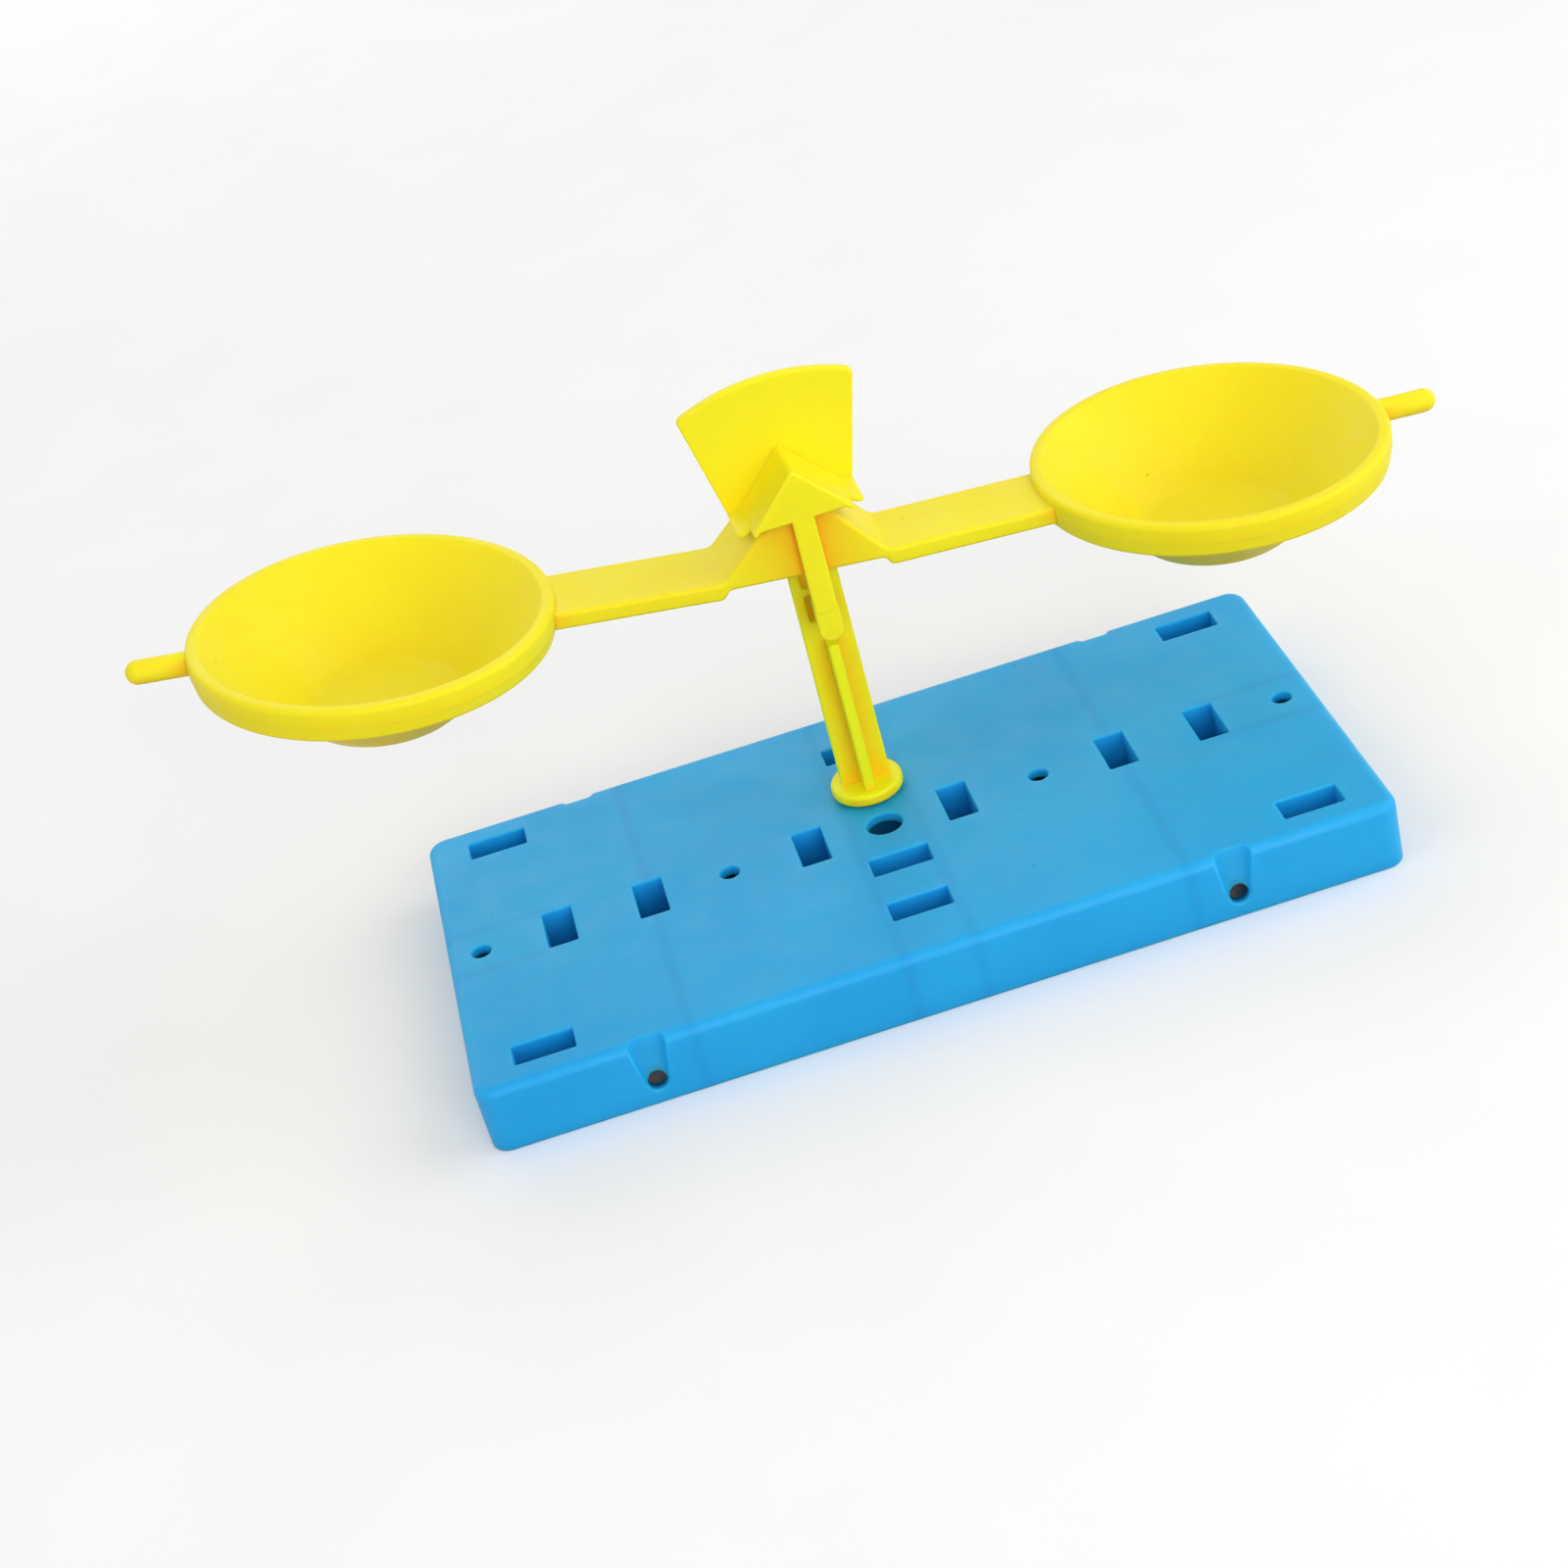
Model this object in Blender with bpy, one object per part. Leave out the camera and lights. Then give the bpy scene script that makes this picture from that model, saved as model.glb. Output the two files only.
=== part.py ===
"""Toy balance scale: base, post, rocking beam with two pans, and dial cap. Metres, +Z up, front is -Y."""

import math

import bmesh
import bpy
from mathutils import Matrix

# Fits
GAP = 0.0003
SWING_GAP = 0.0004
OVERLAP = 0.0004
CUT_PAST = 0.002

# Base tray
BASE_LENGTH = 0.150
BASE_DEPTH = 0.075
BASE_HEIGHT = 0.012
BASE_WALL = 0.0020
BASE_TOP = 0.0018
BASE_CORNER_R = 0.0032
BASE_EDGE_R = 0.0016
SOCKET_WALL = 0.0014
SOCKET_BOTTOM = 0.0020
RIB_THICK = 0.0014
RIB_BOTTOM = 0.0032

# Slots and holes in the tray's top
SLOT_LONG = 0.0100
SLOT_SHORT = 0.0050
ROW_SLOT_X = (0.0126, 0.0403, 0.0559)
CORNER_SLOT_FROM_END = 0.01215
CORNER_SLOT_FROM_SIDE = 0.0073
NEAR_SLOT_Y = 0.01137
FAR_SLOT_Y = 0.02444
PIN_HOLE_R = 0.0017
ROW_HOLE_X = 0.0267
END_HOLE_FROM_END = 0.0057
MIDDLE_HOLE_R = 0.00305

# Notches in the tray's long walls
NOTCH_X = 0.0475
NOTCH_WIDTH = 0.0061
NOTCH_ROUND_R = 0.0018
NOTCH_FLARE = 0.0006
NOTCH_DEPTH = 0.0016
NOTCH_WALL = 0.0011
NOTCH_HOLE_R = 0.0016
NOTCH_HOLE_DROP = 0.0079

# Post
FLANGE_R = 0.0061
FLANGE_THICK = 0.0021
FLANGE_EDGE = 0.0004
TENON_DEPTH = 0.0072
PLATE_WIDTH_FOOT = 0.0084
PLATE_WIDTH_HEAD = 0.0080
PLATE_THICK = 0.0020
RIB_WIDTH = 0.0018
RIB_REACH = 0.0044
FRONT_RIB_TOP = 0.0310
WINDOW_WIDTH = 0.0048
CROSSBAR_HEIGHT = 0.0013
UPPER_WINDOW_TOP = 0.0455
WINDOW_BACK = 0.0008
KNIFE_ABOVE_TOP = 0.0581
KNIFE_ANGLE = math.radians(62)

# Beam
REST_TILT = math.radians(6.0)
MAX_TILT = math.radians(8.0)
BEAM_WIDTH = 0.0140
BAR_THICK = 0.0029
ARM_RISE = math.radians(2.2)
ROOF_HALF = 0.0133
ROOF_ANGLE = math.radians(46)
ROOF_THICK = 0.0020
WEB_THICK = 0.0016
WEB_LIFT = 0.0015
STEP_LENGTH = 0.0026

# Pans
PAN_X = 0.06835
PAN_R = 0.0289
PAN_BAND_HEIGHT = 0.0056
PAN_LIP_WIDTH = 0.0019
PAN_ABOVE_BAR = 0.0016
PAN_INNER_DEPTH = 0.0146
PAN_FLOOR_R = 0.0120
PAN_FLOOR_THICK = 0.0020
PAN_PART_LINE = 0.0030
PAN_SEGMENTS = 64

# End pegs
PEG_R = 0.00195
PEG_REACH = 0.0095
PEG_DROP = 0.0024

# Dial cap
SADDLE_THICK = 0.0009
SADDLE_ANGLE = math.radians(47)
SADDLE_HALF = 0.0083
SADDLE_LENGTH = 0.0108
EAVE_HALF = 0.0104
EAVE_RUN = 0.0095
EAVE_ANGLE = math.radians(25)
CAP_WALL = 0.0013
CAP_WALL_HALF = 0.0077
FAN_THICK = 0.0017
FAN_FOOT_HALF = 0.0103
FAN_TOP_HALF = 0.0144
FAN_SIDE_TOP = 0.0736
FAN_TOP = 0.0767
FAN_CORNER_R = 0.0018
TONGUE_TOP_WIDTH = 0.0038
TONGUE_TIP_WIDTH = 0.0040
TONGUE_TIP = 0.0342
CLIP_WIDTH = 0.0030
CLIP_HEIGHT = 0.0044
CLIP_LIFT = 0.0004

ROUND = 32

# Positions that follow from the sizes. The origin is under the middle of the depth.
BASE_Y = -(NEAR_SLOT_Y + PAN_R - BASE_DEPTH / 2) / 2
POST_Y = BASE_Y + NEAR_SLOT_Y
PIVOT_Z = BASE_HEIGHT + KNIFE_ABOVE_TOP

YELLOW = (0.90, 0.78, 0.02, 1)
BLUE = (0.04, 0.42, 0.78, 1)


def clear_scene():
    for obj in list(bpy.data.objects):
        bpy.data.objects.remove(obj)


def plastic(name, colour):
    """A soft-gloss moulded plastic."""
    mat = bpy.data.materials.new(name)
    mat.use_nodes = True
    shader = mat.node_tree.nodes["Principled BSDF"]
    shader.inputs["Base Color"].default_value = colour
    shader.inputs["Roughness"].default_value = 0.38
    return mat


def mesh_object(name, bm, mat=None):
    """A new object that holds the bmesh, with its faces turned outwards."""
    bmesh.ops.recalc_face_normals(bm, faces=bm.faces)
    mesh = bpy.data.meshes.new(name)
    bm.to_mesh(mesh)
    bm.free()
    obj = bpy.data.objects.new(name, mesh)
    bpy.context.scene.collection.objects.link(obj)
    if mat:
        mesh.materials.append(mat)
    return obj


def add_loft(bm, loops):
    """Adds a closed skin through loops of equal length, capped at both ends."""
    rings = [[bm.verts.new(point) for point in loop] for loop in loops]
    for low, high in zip(rings, rings[1:]):
        for i in range(len(low)):
            j = (i + 1) % len(low)
            bm.faces.new((low[i], low[j], high[j], high[i]))
    bm.faces.new(rings[0])
    bm.faces.new(rings[-1])


def add_slab(bm, outline, z0, z1):
    """Adds an XY outline extruded from z0 to z1."""
    add_loft(bm, [[(x, y, z) for x, y in outline] for z in (z0, z1)])


def add_prism(bm, outline, y0, y1):
    """Adds an XZ outline extruded from y0 to y1."""
    add_loft(bm, [[(x, y, z) for x, z in outline] for y in (y0, y1)])


def rectangle(x, y, width, depth):
    """Corners of a rectangle about a centre."""
    a, b = width / 2, depth / 2
    return [(x - a, y - b), (x + a, y - b), (x + a, y + b), (x - a, y + b)]


def arc(x, y, radius, start, end, steps):
    """Points along an arc, angles in radians."""
    angles = [start + (end - start) * i / steps for i in range(steps + 1)]
    return [(x + radius * math.cos(a), y + radius * math.sin(a)) for a in angles]


def circle(x, y, radius, steps=ROUND):
    return arc(x, y, radius, 0, 2 * math.pi, steps)[:-1]


def rounded_rectangle(x, y, width, depth, radius, steps=6):
    """Outline of a rectangle with round corners, counter-clockwise from the right front corner."""
    points = []
    for corner, (sx, sy) in enumerate(((1, -1), (1, 1), (-1, 1), (-1, -1))):
        cx = x + sx * (width / 2 - radius)
        cy = y + sy * (depth / 2 - radius)
        start = (corner - 1) * math.pi / 2
        points += arc(cx, cy, radius, start, start + math.pi / 2, steps)
    return points


def slab(name, outlines, z0, z1, mat=None):
    bm = bmesh.new()
    for outline in outlines:
        add_slab(bm, outline, z0, z1)
    return mesh_object(name, bm, mat)


def prism(name, outlines, y0, y1, mat=None):
    bm = bmesh.new()
    for outline in outlines:
        add_prism(bm, outline, y0, y1)
    return mesh_object(name, bm, mat)


def lathe(name, profile, segments, mat=None):
    """A solid turned about Z from (radius, height) points that start and end on the axis."""
    bm = bmesh.new()
    foot = bm.verts.new((0, 0, profile[0][1]))
    crown = bm.verts.new((0, 0, profile[-1][1]))
    rings = []
    for radius, height in profile[1:-1]:
        points = circle(0, 0, radius, segments)
        rings.append([bm.verts.new((x, y, height)) for x, y in points])
    for i in range(segments):
        j = (i + 1) % segments
        bm.faces.new((foot, rings[0][j], rings[0][i]))
        bm.faces.new((crown, rings[-1][i], rings[-1][j]))
        for low, high in zip(rings, rings[1:]):
            bm.faces.new((low[i], low[j], high[j], high[i]))
    return mesh_object(name, bm, mat)


def combine(target, tool, operation):
    """An exact Boolean with a hidden helper."""
    tool.hide_render = True
    tool.display_type = "WIRE"
    modifier = target.modifiers.new(tool.name, "BOOLEAN")
    modifier.operation = operation
    modifier.solver = "EXACT"
    modifier.object = tool


def cut(target, tool):
    combine(target, tool, "DIFFERENCE")


def join(target, tool):
    combine(target, tool, "UNION")


def soften(obj, degrees=32):
    """Smooth shading with hard edges kept sharp."""
    obj.data.shade_smooth()
    obj.data.set_sharp_from_angle(angle=math.radians(degrees))


def both(values):
    return [sign * value for value in values for sign in (-1, 1)]


def slot_centres():
    """Every slot as (x, y, width, depth), measured from the tray's middle."""
    row = [(x, 0, SLOT_SHORT, SLOT_LONG) for x in both(ROW_SLOT_X)]
    corner = [
        (x, y, SLOT_LONG, SLOT_SHORT)
        for x in both((BASE_LENGTH / 2 - CORNER_SLOT_FROM_END,))
        for y in both((BASE_DEPTH / 2 - CORNER_SLOT_FROM_SIDE,))
    ]
    middle = [(0, y, SLOT_LONG, SLOT_SHORT) for y in both((NEAR_SLOT_Y, FAR_SLOT_Y))]
    return row + corner + middle


def tray_body(mat):
    """The tray's outside, with its top edge rounded over."""
    bm = bmesh.new()
    loops = []
    steps = 5
    levels = [(0.0, 0.0)]
    for i in range(steps + 1):
        angle = math.pi / 2 * i / steps
        inset = BASE_EDGE_R * (1 - math.cos(angle))
        levels.append((BASE_HEIGHT - BASE_EDGE_R * (1 - math.sin(angle)), inset))
    for z, inset in levels:
        outline = rounded_rectangle(
            0,
            BASE_Y,
            BASE_LENGTH - 2 * inset,
            BASE_DEPTH - 2 * inset,
            BASE_CORNER_R - inset,
        )
        loops.append([(x, y, z) for x, y in outline])
    add_loft(bm, loops)
    return mesh_object("base", bm, mat)


def tray_hollow():
    """The space under the tray's top, less its ribs, sockets and notch bosses."""
    outline = rounded_rectangle(
        0,
        BASE_Y,
        BASE_LENGTH - 2 * BASE_WALL,
        BASE_DEPTH - 2 * BASE_WALL,
        BASE_CORNER_R - BASE_WALL,
    )
    hollow = slab("tray_hollow", [outline], -CUT_PAST, BASE_HEIGHT - BASE_TOP)
    socket_rib = SLOT_LONG / 2 + SOCKET_WALL - RIB_THICK / 2
    ribs = [
        rectangle(x, BASE_Y, RIB_THICK, BASE_DEPTH)
        for x in both((ROW_SLOT_X[1], socket_rib))
    ]
    end_run = BASE_LENGTH / 2 - ROW_SLOT_X[2]
    ribs += [
        rectangle(x, BASE_Y + y, end_run, RIB_THICK)
        for x in both((BASE_LENGTH / 2 - end_run / 2,))
        for y in both((socket_rib,))
    ]
    cut(hollow, slab("tray_ribs", ribs, RIB_BOTTOM, BASE_HEIGHT))
    sockets = [
        rectangle(x, BASE_Y + y, width + 2 * SOCKET_WALL, depth + 2 * SOCKET_WALL)
        for x, y, width, depth in slot_centres()
    ]
    cut(hollow, slab("tray_sockets", sockets, SOCKET_BOTTOM, BASE_HEIGHT))
    boss_width = NOTCH_WIDTH + 2 * (NOTCH_FLARE + BASE_WALL)
    bosses = [
        rectangle(x, BASE_Y + y, boss_width, 2 * (NOTCH_DEPTH + NOTCH_WALL))
        for x in both((NOTCH_X,))
        for y in both((BASE_DEPTH / 2,))
    ]
    cut(hollow, slab("tray_bosses", bosses, -2 * CUT_PAST, BASE_HEIGHT))
    return hollow


def notch_outline(x, flare):
    """The notch seen from the front: its sides run down to touch a round bottom about its hole."""
    half = NOTCH_WIDTH / 2 + flare
    radius = NOTCH_ROUND_R + flare
    touch = math.atan2(NOTCH_HOLE_DROP, half) - math.acos(radius / math.hypot(half, NOTCH_HOLE_DROP))
    lean = math.tan(-touch)
    top = BASE_HEIGHT + CUT_PAST
    top_half = half + CUT_PAST * lean
    middle = BASE_HEIGHT - NOTCH_HOLE_DROP
    bottom = arc(x, middle, radius, math.pi - touch, 2 * math.pi + touch, 16)
    return [(x + top_half, top), (x - top_half, top)] + bottom


def notch_cutter(name, side):
    """Both notches of one long wall, wider at the face than at the back: side is -1 for the front wall."""
    face = BASE_Y + side * BASE_DEPTH / 2
    past_flare = NOTCH_FLARE * (1 + CUT_PAST / NOTCH_DEPTH)
    levels = ((face - side * NOTCH_DEPTH, 0), (face + side * CUT_PAST, past_flare))
    bm = bmesh.new()
    for x in both((NOTCH_X,)):
        add_loft(bm, [[(u, y, z) for u, z in notch_outline(x, flare)] for y, flare in levels])
    return mesh_object(name, bm)


def build_base(mat):
    base = tray_body(mat)
    cut(base, tray_hollow())
    slots = [rectangle(x, BASE_Y + y, w, d) for x, y, w, d in slot_centres()]
    pin_x = (ROW_HOLE_X, BASE_LENGTH / 2 - END_HOLE_FROM_END)
    holes = [circle(x, BASE_Y, PIN_HOLE_R, 20) for x in both(pin_x)]
    holes.append(circle(0, BASE_Y, MIDDLE_HOLE_R))
    through = slab("tray_slots", slots + holes, -CUT_PAST, BASE_HEIGHT + CUT_PAST)
    cut(base, through)
    pins = [
        circle(x, BASE_HEIGHT - NOTCH_HOLE_DROP, NOTCH_HOLE_R, 20)
        for x in both((NOTCH_X,))
    ]
    for side, word in ((-1, "front"), (1, "back")):
        face = BASE_Y + side * BASE_DEPTH / 2
        cut(base, notch_cutter(f"notch_{word}", side))
        inner = face - side * (NOTCH_DEPTH + NOTCH_WALL + CUT_PAST)
        y0, y1 = sorted((inner, face + side * CUT_PAST))
        cut(base, prism(f"notch_hole_{word}", pins, y0, y1))
    soften(base)
    return base


def plate_outline():
    """The post's plate seen from the front, narrowing to the knife edge."""
    foot = BASE_HEIGHT + GAP + FLANGE_THICK - OVERLAP
    head_half = PLATE_WIDTH_HEAD / 2
    neck_half = RIB_WIDTH / 4
    neck = PIVOT_Z - RIB_WIDTH / 2 * math.tan(KNIFE_ANGLE) - OVERLAP
    shoulder = neck - (head_half - neck_half) * math.tan(KNIFE_ANGLE)
    right = [
        (PLATE_WIDTH_FOOT / 2, foot),
        (head_half, shoulder),
        (neck_half, neck),
    ]
    return right + [(-x, z) for x, z in reversed(right)]


def knife_outline():
    """The head's rib seen from the front, with the edge that the beam rocks on."""
    half = RIB_WIDTH / 2
    shoulder = PIVOT_Z - half * math.tan(KNIFE_ANGLE)
    bottom = BASE_HEIGHT + UPPER_WINDOW_TOP + OVERLAP
    return [(-half, bottom), (half, bottom), (half, shoulder), (0, PIVOT_Z), (-half, shoulder)]


def clip_levels():
    """Bottom and top of the cap's clip, above the table."""
    low = BASE_HEIGHT + TONGUE_TIP + CLIP_LIFT
    return low, low + CLIP_HEIGHT


def window_floor():
    """How far back the openings in the post's head reach."""
    return POST_Y + PLATE_THICK / 2 - WINDOW_BACK


def build_post(mat):
    foot = BASE_HEIGHT + GAP
    post = slab("post", [circle(0, POST_Y, FLANGE_R)], foot, foot + FLANGE_THICK, mat)
    bevel = post.modifiers.new("edge", "BEVEL")
    bevel.width = FLANGE_EDGE
    bevel.segments = 2
    bevel.limit_method = "ANGLE"
    bevel.angle_limit = math.radians(60)
    y0, y1 = POST_Y - PLATE_THICK / 2, POST_Y + PLATE_THICK / 2
    join(post, prism("post_plate", [plate_outline()], y0, y1))
    rib = [rectangle(0, POST_Y, RIB_WIDTH, 2 * RIB_REACH)]
    top = BASE_HEIGHT + FRONT_RIB_TOP
    join(post, slab("post_rib", rib, foot + FLANGE_THICK - OVERLAP, top))
    y0, y1 = POST_Y - RIB_REACH, POST_Y + RIB_REACH
    join(post, prism("post_knife", [knife_outline()], y0, y1))
    tenon = [rectangle(0, POST_Y, SLOT_LONG - 2 * GAP, SLOT_SHORT - 2 * GAP)]
    join(post, slab("post_tenon", tenon, BASE_HEIGHT - TENON_DEPTH, foot + OVERLAP))
    low, high = clip_levels()
    low -= GAP
    high += GAP
    upper = (high + CROSSBAR_HEIGHT, BASE_HEIGHT + UPPER_WINDOW_TOP)
    windows = [
        rectangle(0, (z0 + z1) / 2, WINDOW_WIDTH, z1 - z0) for z0, z1 in ((low, high), upper)
    ]
    mouth = POST_Y - PLATE_THICK / 2 - CUT_PAST
    cut(post, prism("post_windows", windows, mouth, window_floor()))
    soften(post)
    return post


def roof_apex():
    """Height of the roof's outer ridge above the pivot."""
    return GAP + ROOF_THICK / math.cos(ROOF_ANGLE)


def crease_z():
    """Height of the bar's top where it meets the roof, from the pivot."""
    return roof_apex() - ROOF_HALF * math.tan(ROOF_ANGLE)


def beam_outline():
    """Bars, roof and web seen from the front, about the pivot."""
    end = PAN_X - (PAN_R - PAN_LIP_WIDTH * 0.7)
    rise = (end - ROOF_HALF) * math.tan(ARM_RISE)
    crease = crease_z()
    under = crease - BAR_THICK
    step = ROOF_HALF + STEP_LENGTH / 2
    right = [
        (step - STEP_LENGTH, under + WEB_LIFT),
        (step - STEP_LENGTH * 0.72, under + WEB_LIFT * 0.9),
        (step - STEP_LENGTH * 0.42, under + WEB_LIFT * 0.36),
        (step - STEP_LENGTH * 0.16, under + WEB_LIFT * 0.1),
        (step + STEP_LENGTH * 0.25, under + STEP_LENGTH * 0.75 * math.tan(ARM_RISE)),
        (end, under + rise),
        (end, crease + rise),
        (ROOF_HALF, crease),
    ]
    left = [(-x, z) for x, z in reversed(right)]
    return right + [(0, roof_apex())] + left


def roof_pocket_outline():
    """The hollow under the roof, open below."""
    bottom = crease_z() - BAR_THICK - CUT_PAST
    half = (GAP - bottom) / math.tan(ROOF_ANGLE)
    return [(-half, bottom), (half, bottom), (0, GAP)]


def pan_profile():
    """Half section of a pan, from the underside's middle to the floor's middle. The rim's top is at zero."""
    lip = PAN_R - PAN_LIP_WIDTH
    floor = -PAN_INNER_DEPTH
    under = floor - PAN_FLOOR_THICK
    edge = 0.0006
    band = -PAN_BAND_HEIGHT
    line = 0.0002
    return [
        (0, under),
        (PAN_FLOOR_R - edge, under),
        (PAN_FLOOR_R, under + edge / 2),
        (lip - 0.0003, -PAN_PART_LINE - edge),
        (lip, -PAN_PART_LINE - edge),
        (lip, band),
        (PAN_R - edge, band),
        (PAN_R - line, band + edge),
        (PAN_R - line, -PAN_PART_LINE),
        (PAN_R, -PAN_PART_LINE + line),
        (PAN_R, -edge),
        (PAN_R - edge / 3, -edge / 3),
        (PAN_R - edge, 0),
        (lip + edge, 0),
        (lip + edge / 3, -edge / 3),
        (lip, -edge),
        (PAN_FLOOR_R + edge, floor + edge / 2),
        (PAN_FLOOR_R, floor),
        (0, floor),
    ]


def pan_top_z():
    """Height of a pan's rim above the pivot, at the pan's middle."""
    return crease_z() + (PAN_X - ROOF_HALF) * math.tan(ARM_RISE) + PAN_ABOVE_BAR


def pan_matrix(side):
    """Where a pan sits on the beam: side is -1 for left and 1 for right."""
    place = Matrix.Translation((side * PAN_X, 0, pan_top_z()))
    return place @ Matrix.Rotation(-side * ARM_RISE, 4, "Y")


def peg_profile():
    """Half section of an end peg with a round tip, from its root."""
    start = PAN_R - PAN_LIP_WIDTH * 0.7
    tip = PAN_R + PEG_REACH
    ball = arc(0, tip - PEG_R, PEG_R, 0, math.pi / 2, 6)
    return [(0, start), (PEG_R, start)] + ball[:-1] + [(0, tip)]


def build_beam(mat):
    """Everything about the pivot, carried by an empty that holds the rest tilt."""
    pivot = bpy.data.objects.new("beam_pivot", None)
    bpy.context.scene.collection.objects.link(pivot)
    pivot.location = (0, POST_Y, PIVOT_Z)
    pivot.rotation_euler = (0, REST_TILT, 0)
    half = BEAM_WIDTH / 2
    beam = prism("beam", [beam_outline()], -half, half, mat)
    inside = half - WEB_THICK
    pocket = prism("roof_pocket", [roof_pocket_outline()], -inside, inside)
    cut(beam, pocket)
    parts = [beam, pocket]
    for side, word in ((-1, "left"), (1, "right")):
        pan = lathe(f"pan_{word}", pan_profile(), PAN_SEGMENTS)
        pan.data.transform(pan_matrix(side))
        join(beam, pan)
        peg = lathe(f"peg_{word}", peg_profile(), 20)
        turn = Matrix.Rotation(side * math.pi / 2, 4, "Y")
        drop = Matrix.Translation((0, 0, -PEG_DROP))
        peg.data.transform(pan_matrix(side) @ drop @ turn)
        join(beam, peg)
        parts += [pan, peg]
        soften(pan)
        soften(peg)
    soften(beam)
    for part in parts:
        part.parent = pivot
    return beam


def saddle_clearance():
    """Height of the saddle's inner ridge above the pivot, so that the beam can tilt fully under it."""
    slope = ROOF_ANGLE - MAX_TILT
    apex_x = roof_apex() * math.sin(MAX_TILT)
    apex_z = roof_apex() * math.cos(MAX_TILT)
    reach = SADDLE_HALF + apex_x
    roof = apex_z - reach * math.tan(slope)
    return roof + SADDLE_HALF * math.tan(SADDLE_ANGLE) + SWING_GAP / math.cos(SADDLE_ANGLE)


def saddle_ridge():
    """Height of the saddle's outer ridge."""
    return PIVOT_Z + saddle_clearance() + SADDLE_THICK / math.cos(SADDLE_ANGLE)


def saddle_line(x):
    """Height of the saddle's outer slope at a distance from the middle."""
    return saddle_ridge() - x * math.tan(SADDLE_ANGLE)


def saddle_outline():
    """The saddle's bent shell seen from the front."""
    inner_x = SADDLE_HALF - SADDLE_THICK * math.sin(SADDLE_ANGLE)
    inner_z = saddle_line(SADDLE_HALF) - SADDLE_THICK * math.cos(SADDLE_ANGLE)
    right = [(SADDLE_HALF, saddle_line(SADDLE_HALF)), (inner_x, inner_z)]
    inner = (0, saddle_ridge() - SADDLE_THICK / math.cos(SADDLE_ANGLE))
    return [(0, saddle_ridge())] + right + [inner] + [(-x, z) for x, z in reversed(right)]


def eave_line(x):
    """Height of an eave's top, which leaves the slope inside its thickness and runs out flatter."""
    start = SADDLE_HALF - SADDLE_THICK
    return saddle_line(start) - SADDLE_THICK / 4 - (x - start) * math.tan(EAVE_ANGLE)


def eave_outline(side):
    """One eave seen from the front."""
    xs = (SADDLE_HALF - SADDLE_THICK, EAVE_HALF)
    top = [(side * x, eave_line(x)) for x in xs]
    return top + [(x, z - SADDLE_THICK) for x, z in reversed(top)]


def cap_wall_outline():
    """The saddle's front wall."""
    sink = SADDLE_THICK / 2
    low = saddle_line(CAP_WALL_HALF) - sink
    return [(0, saddle_ridge() - sink), (-CAP_WALL_HALF, low), (CAP_WALL_HALF, low)]


def tongue_outline():
    """The tongue, from inside the front wall down to its round tip."""
    low = BASE_HEIGHT + TONGUE_TIP
    high = saddle_line(CAP_WALL_HALF) + OVERLAP
    radius = TONGUE_TIP_WIDTH / 2
    tip = arc(0, low + radius, radius, math.pi, 2 * math.pi, 10)
    return tip + [(TONGUE_TOP_WIDTH / 2, high), (-TONGUE_TOP_WIDTH / 2, high)]


def fan_outline():
    """The fan-shaped dial: straight sides, round corners and an arched top."""
    sink = SADDLE_THICK / 2
    low = eave_line(FAN_FOOT_HALF) - sink
    side_top = BASE_HEIGHT + FAN_SIDE_TOP
    top = BASE_HEIGHT + FAN_TOP
    lean = math.atan2(FAN_TOP_HALF - FAN_FOOT_HALF, side_top - low)
    rise = top - side_top
    radius = (FAN_TOP_HALF**2 + rise**2) / (2 * rise)
    centre = top - radius
    edge = math.asin(FAN_TOP_HALF / radius)
    trim = FAN_CORNER_R * 1.2 / radius
    crown = arc(0, centre, radius, math.pi / 2 - edge + trim, math.pi / 2 + edge - trim, 20)
    down = FAN_CORNER_R * 1.2
    below = (FAN_TOP_HALF - down * math.sin(lean), side_top - down * math.cos(lean))
    shoulder = (FAN_TOP_HALF - down * 0.16, side_top - down * 0.2)
    bend = SADDLE_HALF - SADDLE_THICK
    right = [(bend, saddle_line(bend) - sink), (FAN_FOOT_HALF, low), below, shoulder]
    left = [(-x, z) for x, z in reversed(right)]
    return [(0, saddle_ridge() - sink)] + right + crown + left


def build_cap(mat):
    """The dial cap. Its wall hangs just in front of the beam, and its clip reaches into the post."""
    back = POST_Y - BEAM_WIDTH / 2 - SWING_GAP
    front = back - CAP_WALL
    fan_front = front + SADDLE_LENGTH
    fan_back = fan_front + FAN_THICK
    cap = prism("dial_cap", [saddle_outline()], front, fan_back, mat)
    eaves = [eave_outline(side) for side in (-1, 1)]
    join(cap, prism("cap_eaves", eaves, fan_back - EAVE_RUN, fan_back - OVERLAP))
    join(cap, prism("cap_wall", [cap_wall_outline()], front, back))
    join(cap, prism("cap_fan", [fan_outline()], fan_front, fan_back))
    join(cap, prism("cap_tongue", [tongue_outline()], front, back))
    low, high = clip_levels()
    clip = [rectangle(0, (low + high) / 2, CLIP_WIDTH, high - low)]
    join(cap, prism("cap_clip", clip, back - OVERLAP, window_floor() - GAP))
    soften(cap)
    return cap


def main():
    clear_scene()
    build_base(plastic("blue_plastic", BLUE))
    build_post(plastic("post_plastic", YELLOW))
    build_beam(plastic("beam_plastic", YELLOW))
    build_cap(plastic("cap_plastic", YELLOW))


main()
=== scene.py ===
import math
from collections import namedtuple

import bmesh
import bpy
from mathutils import Matrix, Vector


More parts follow.
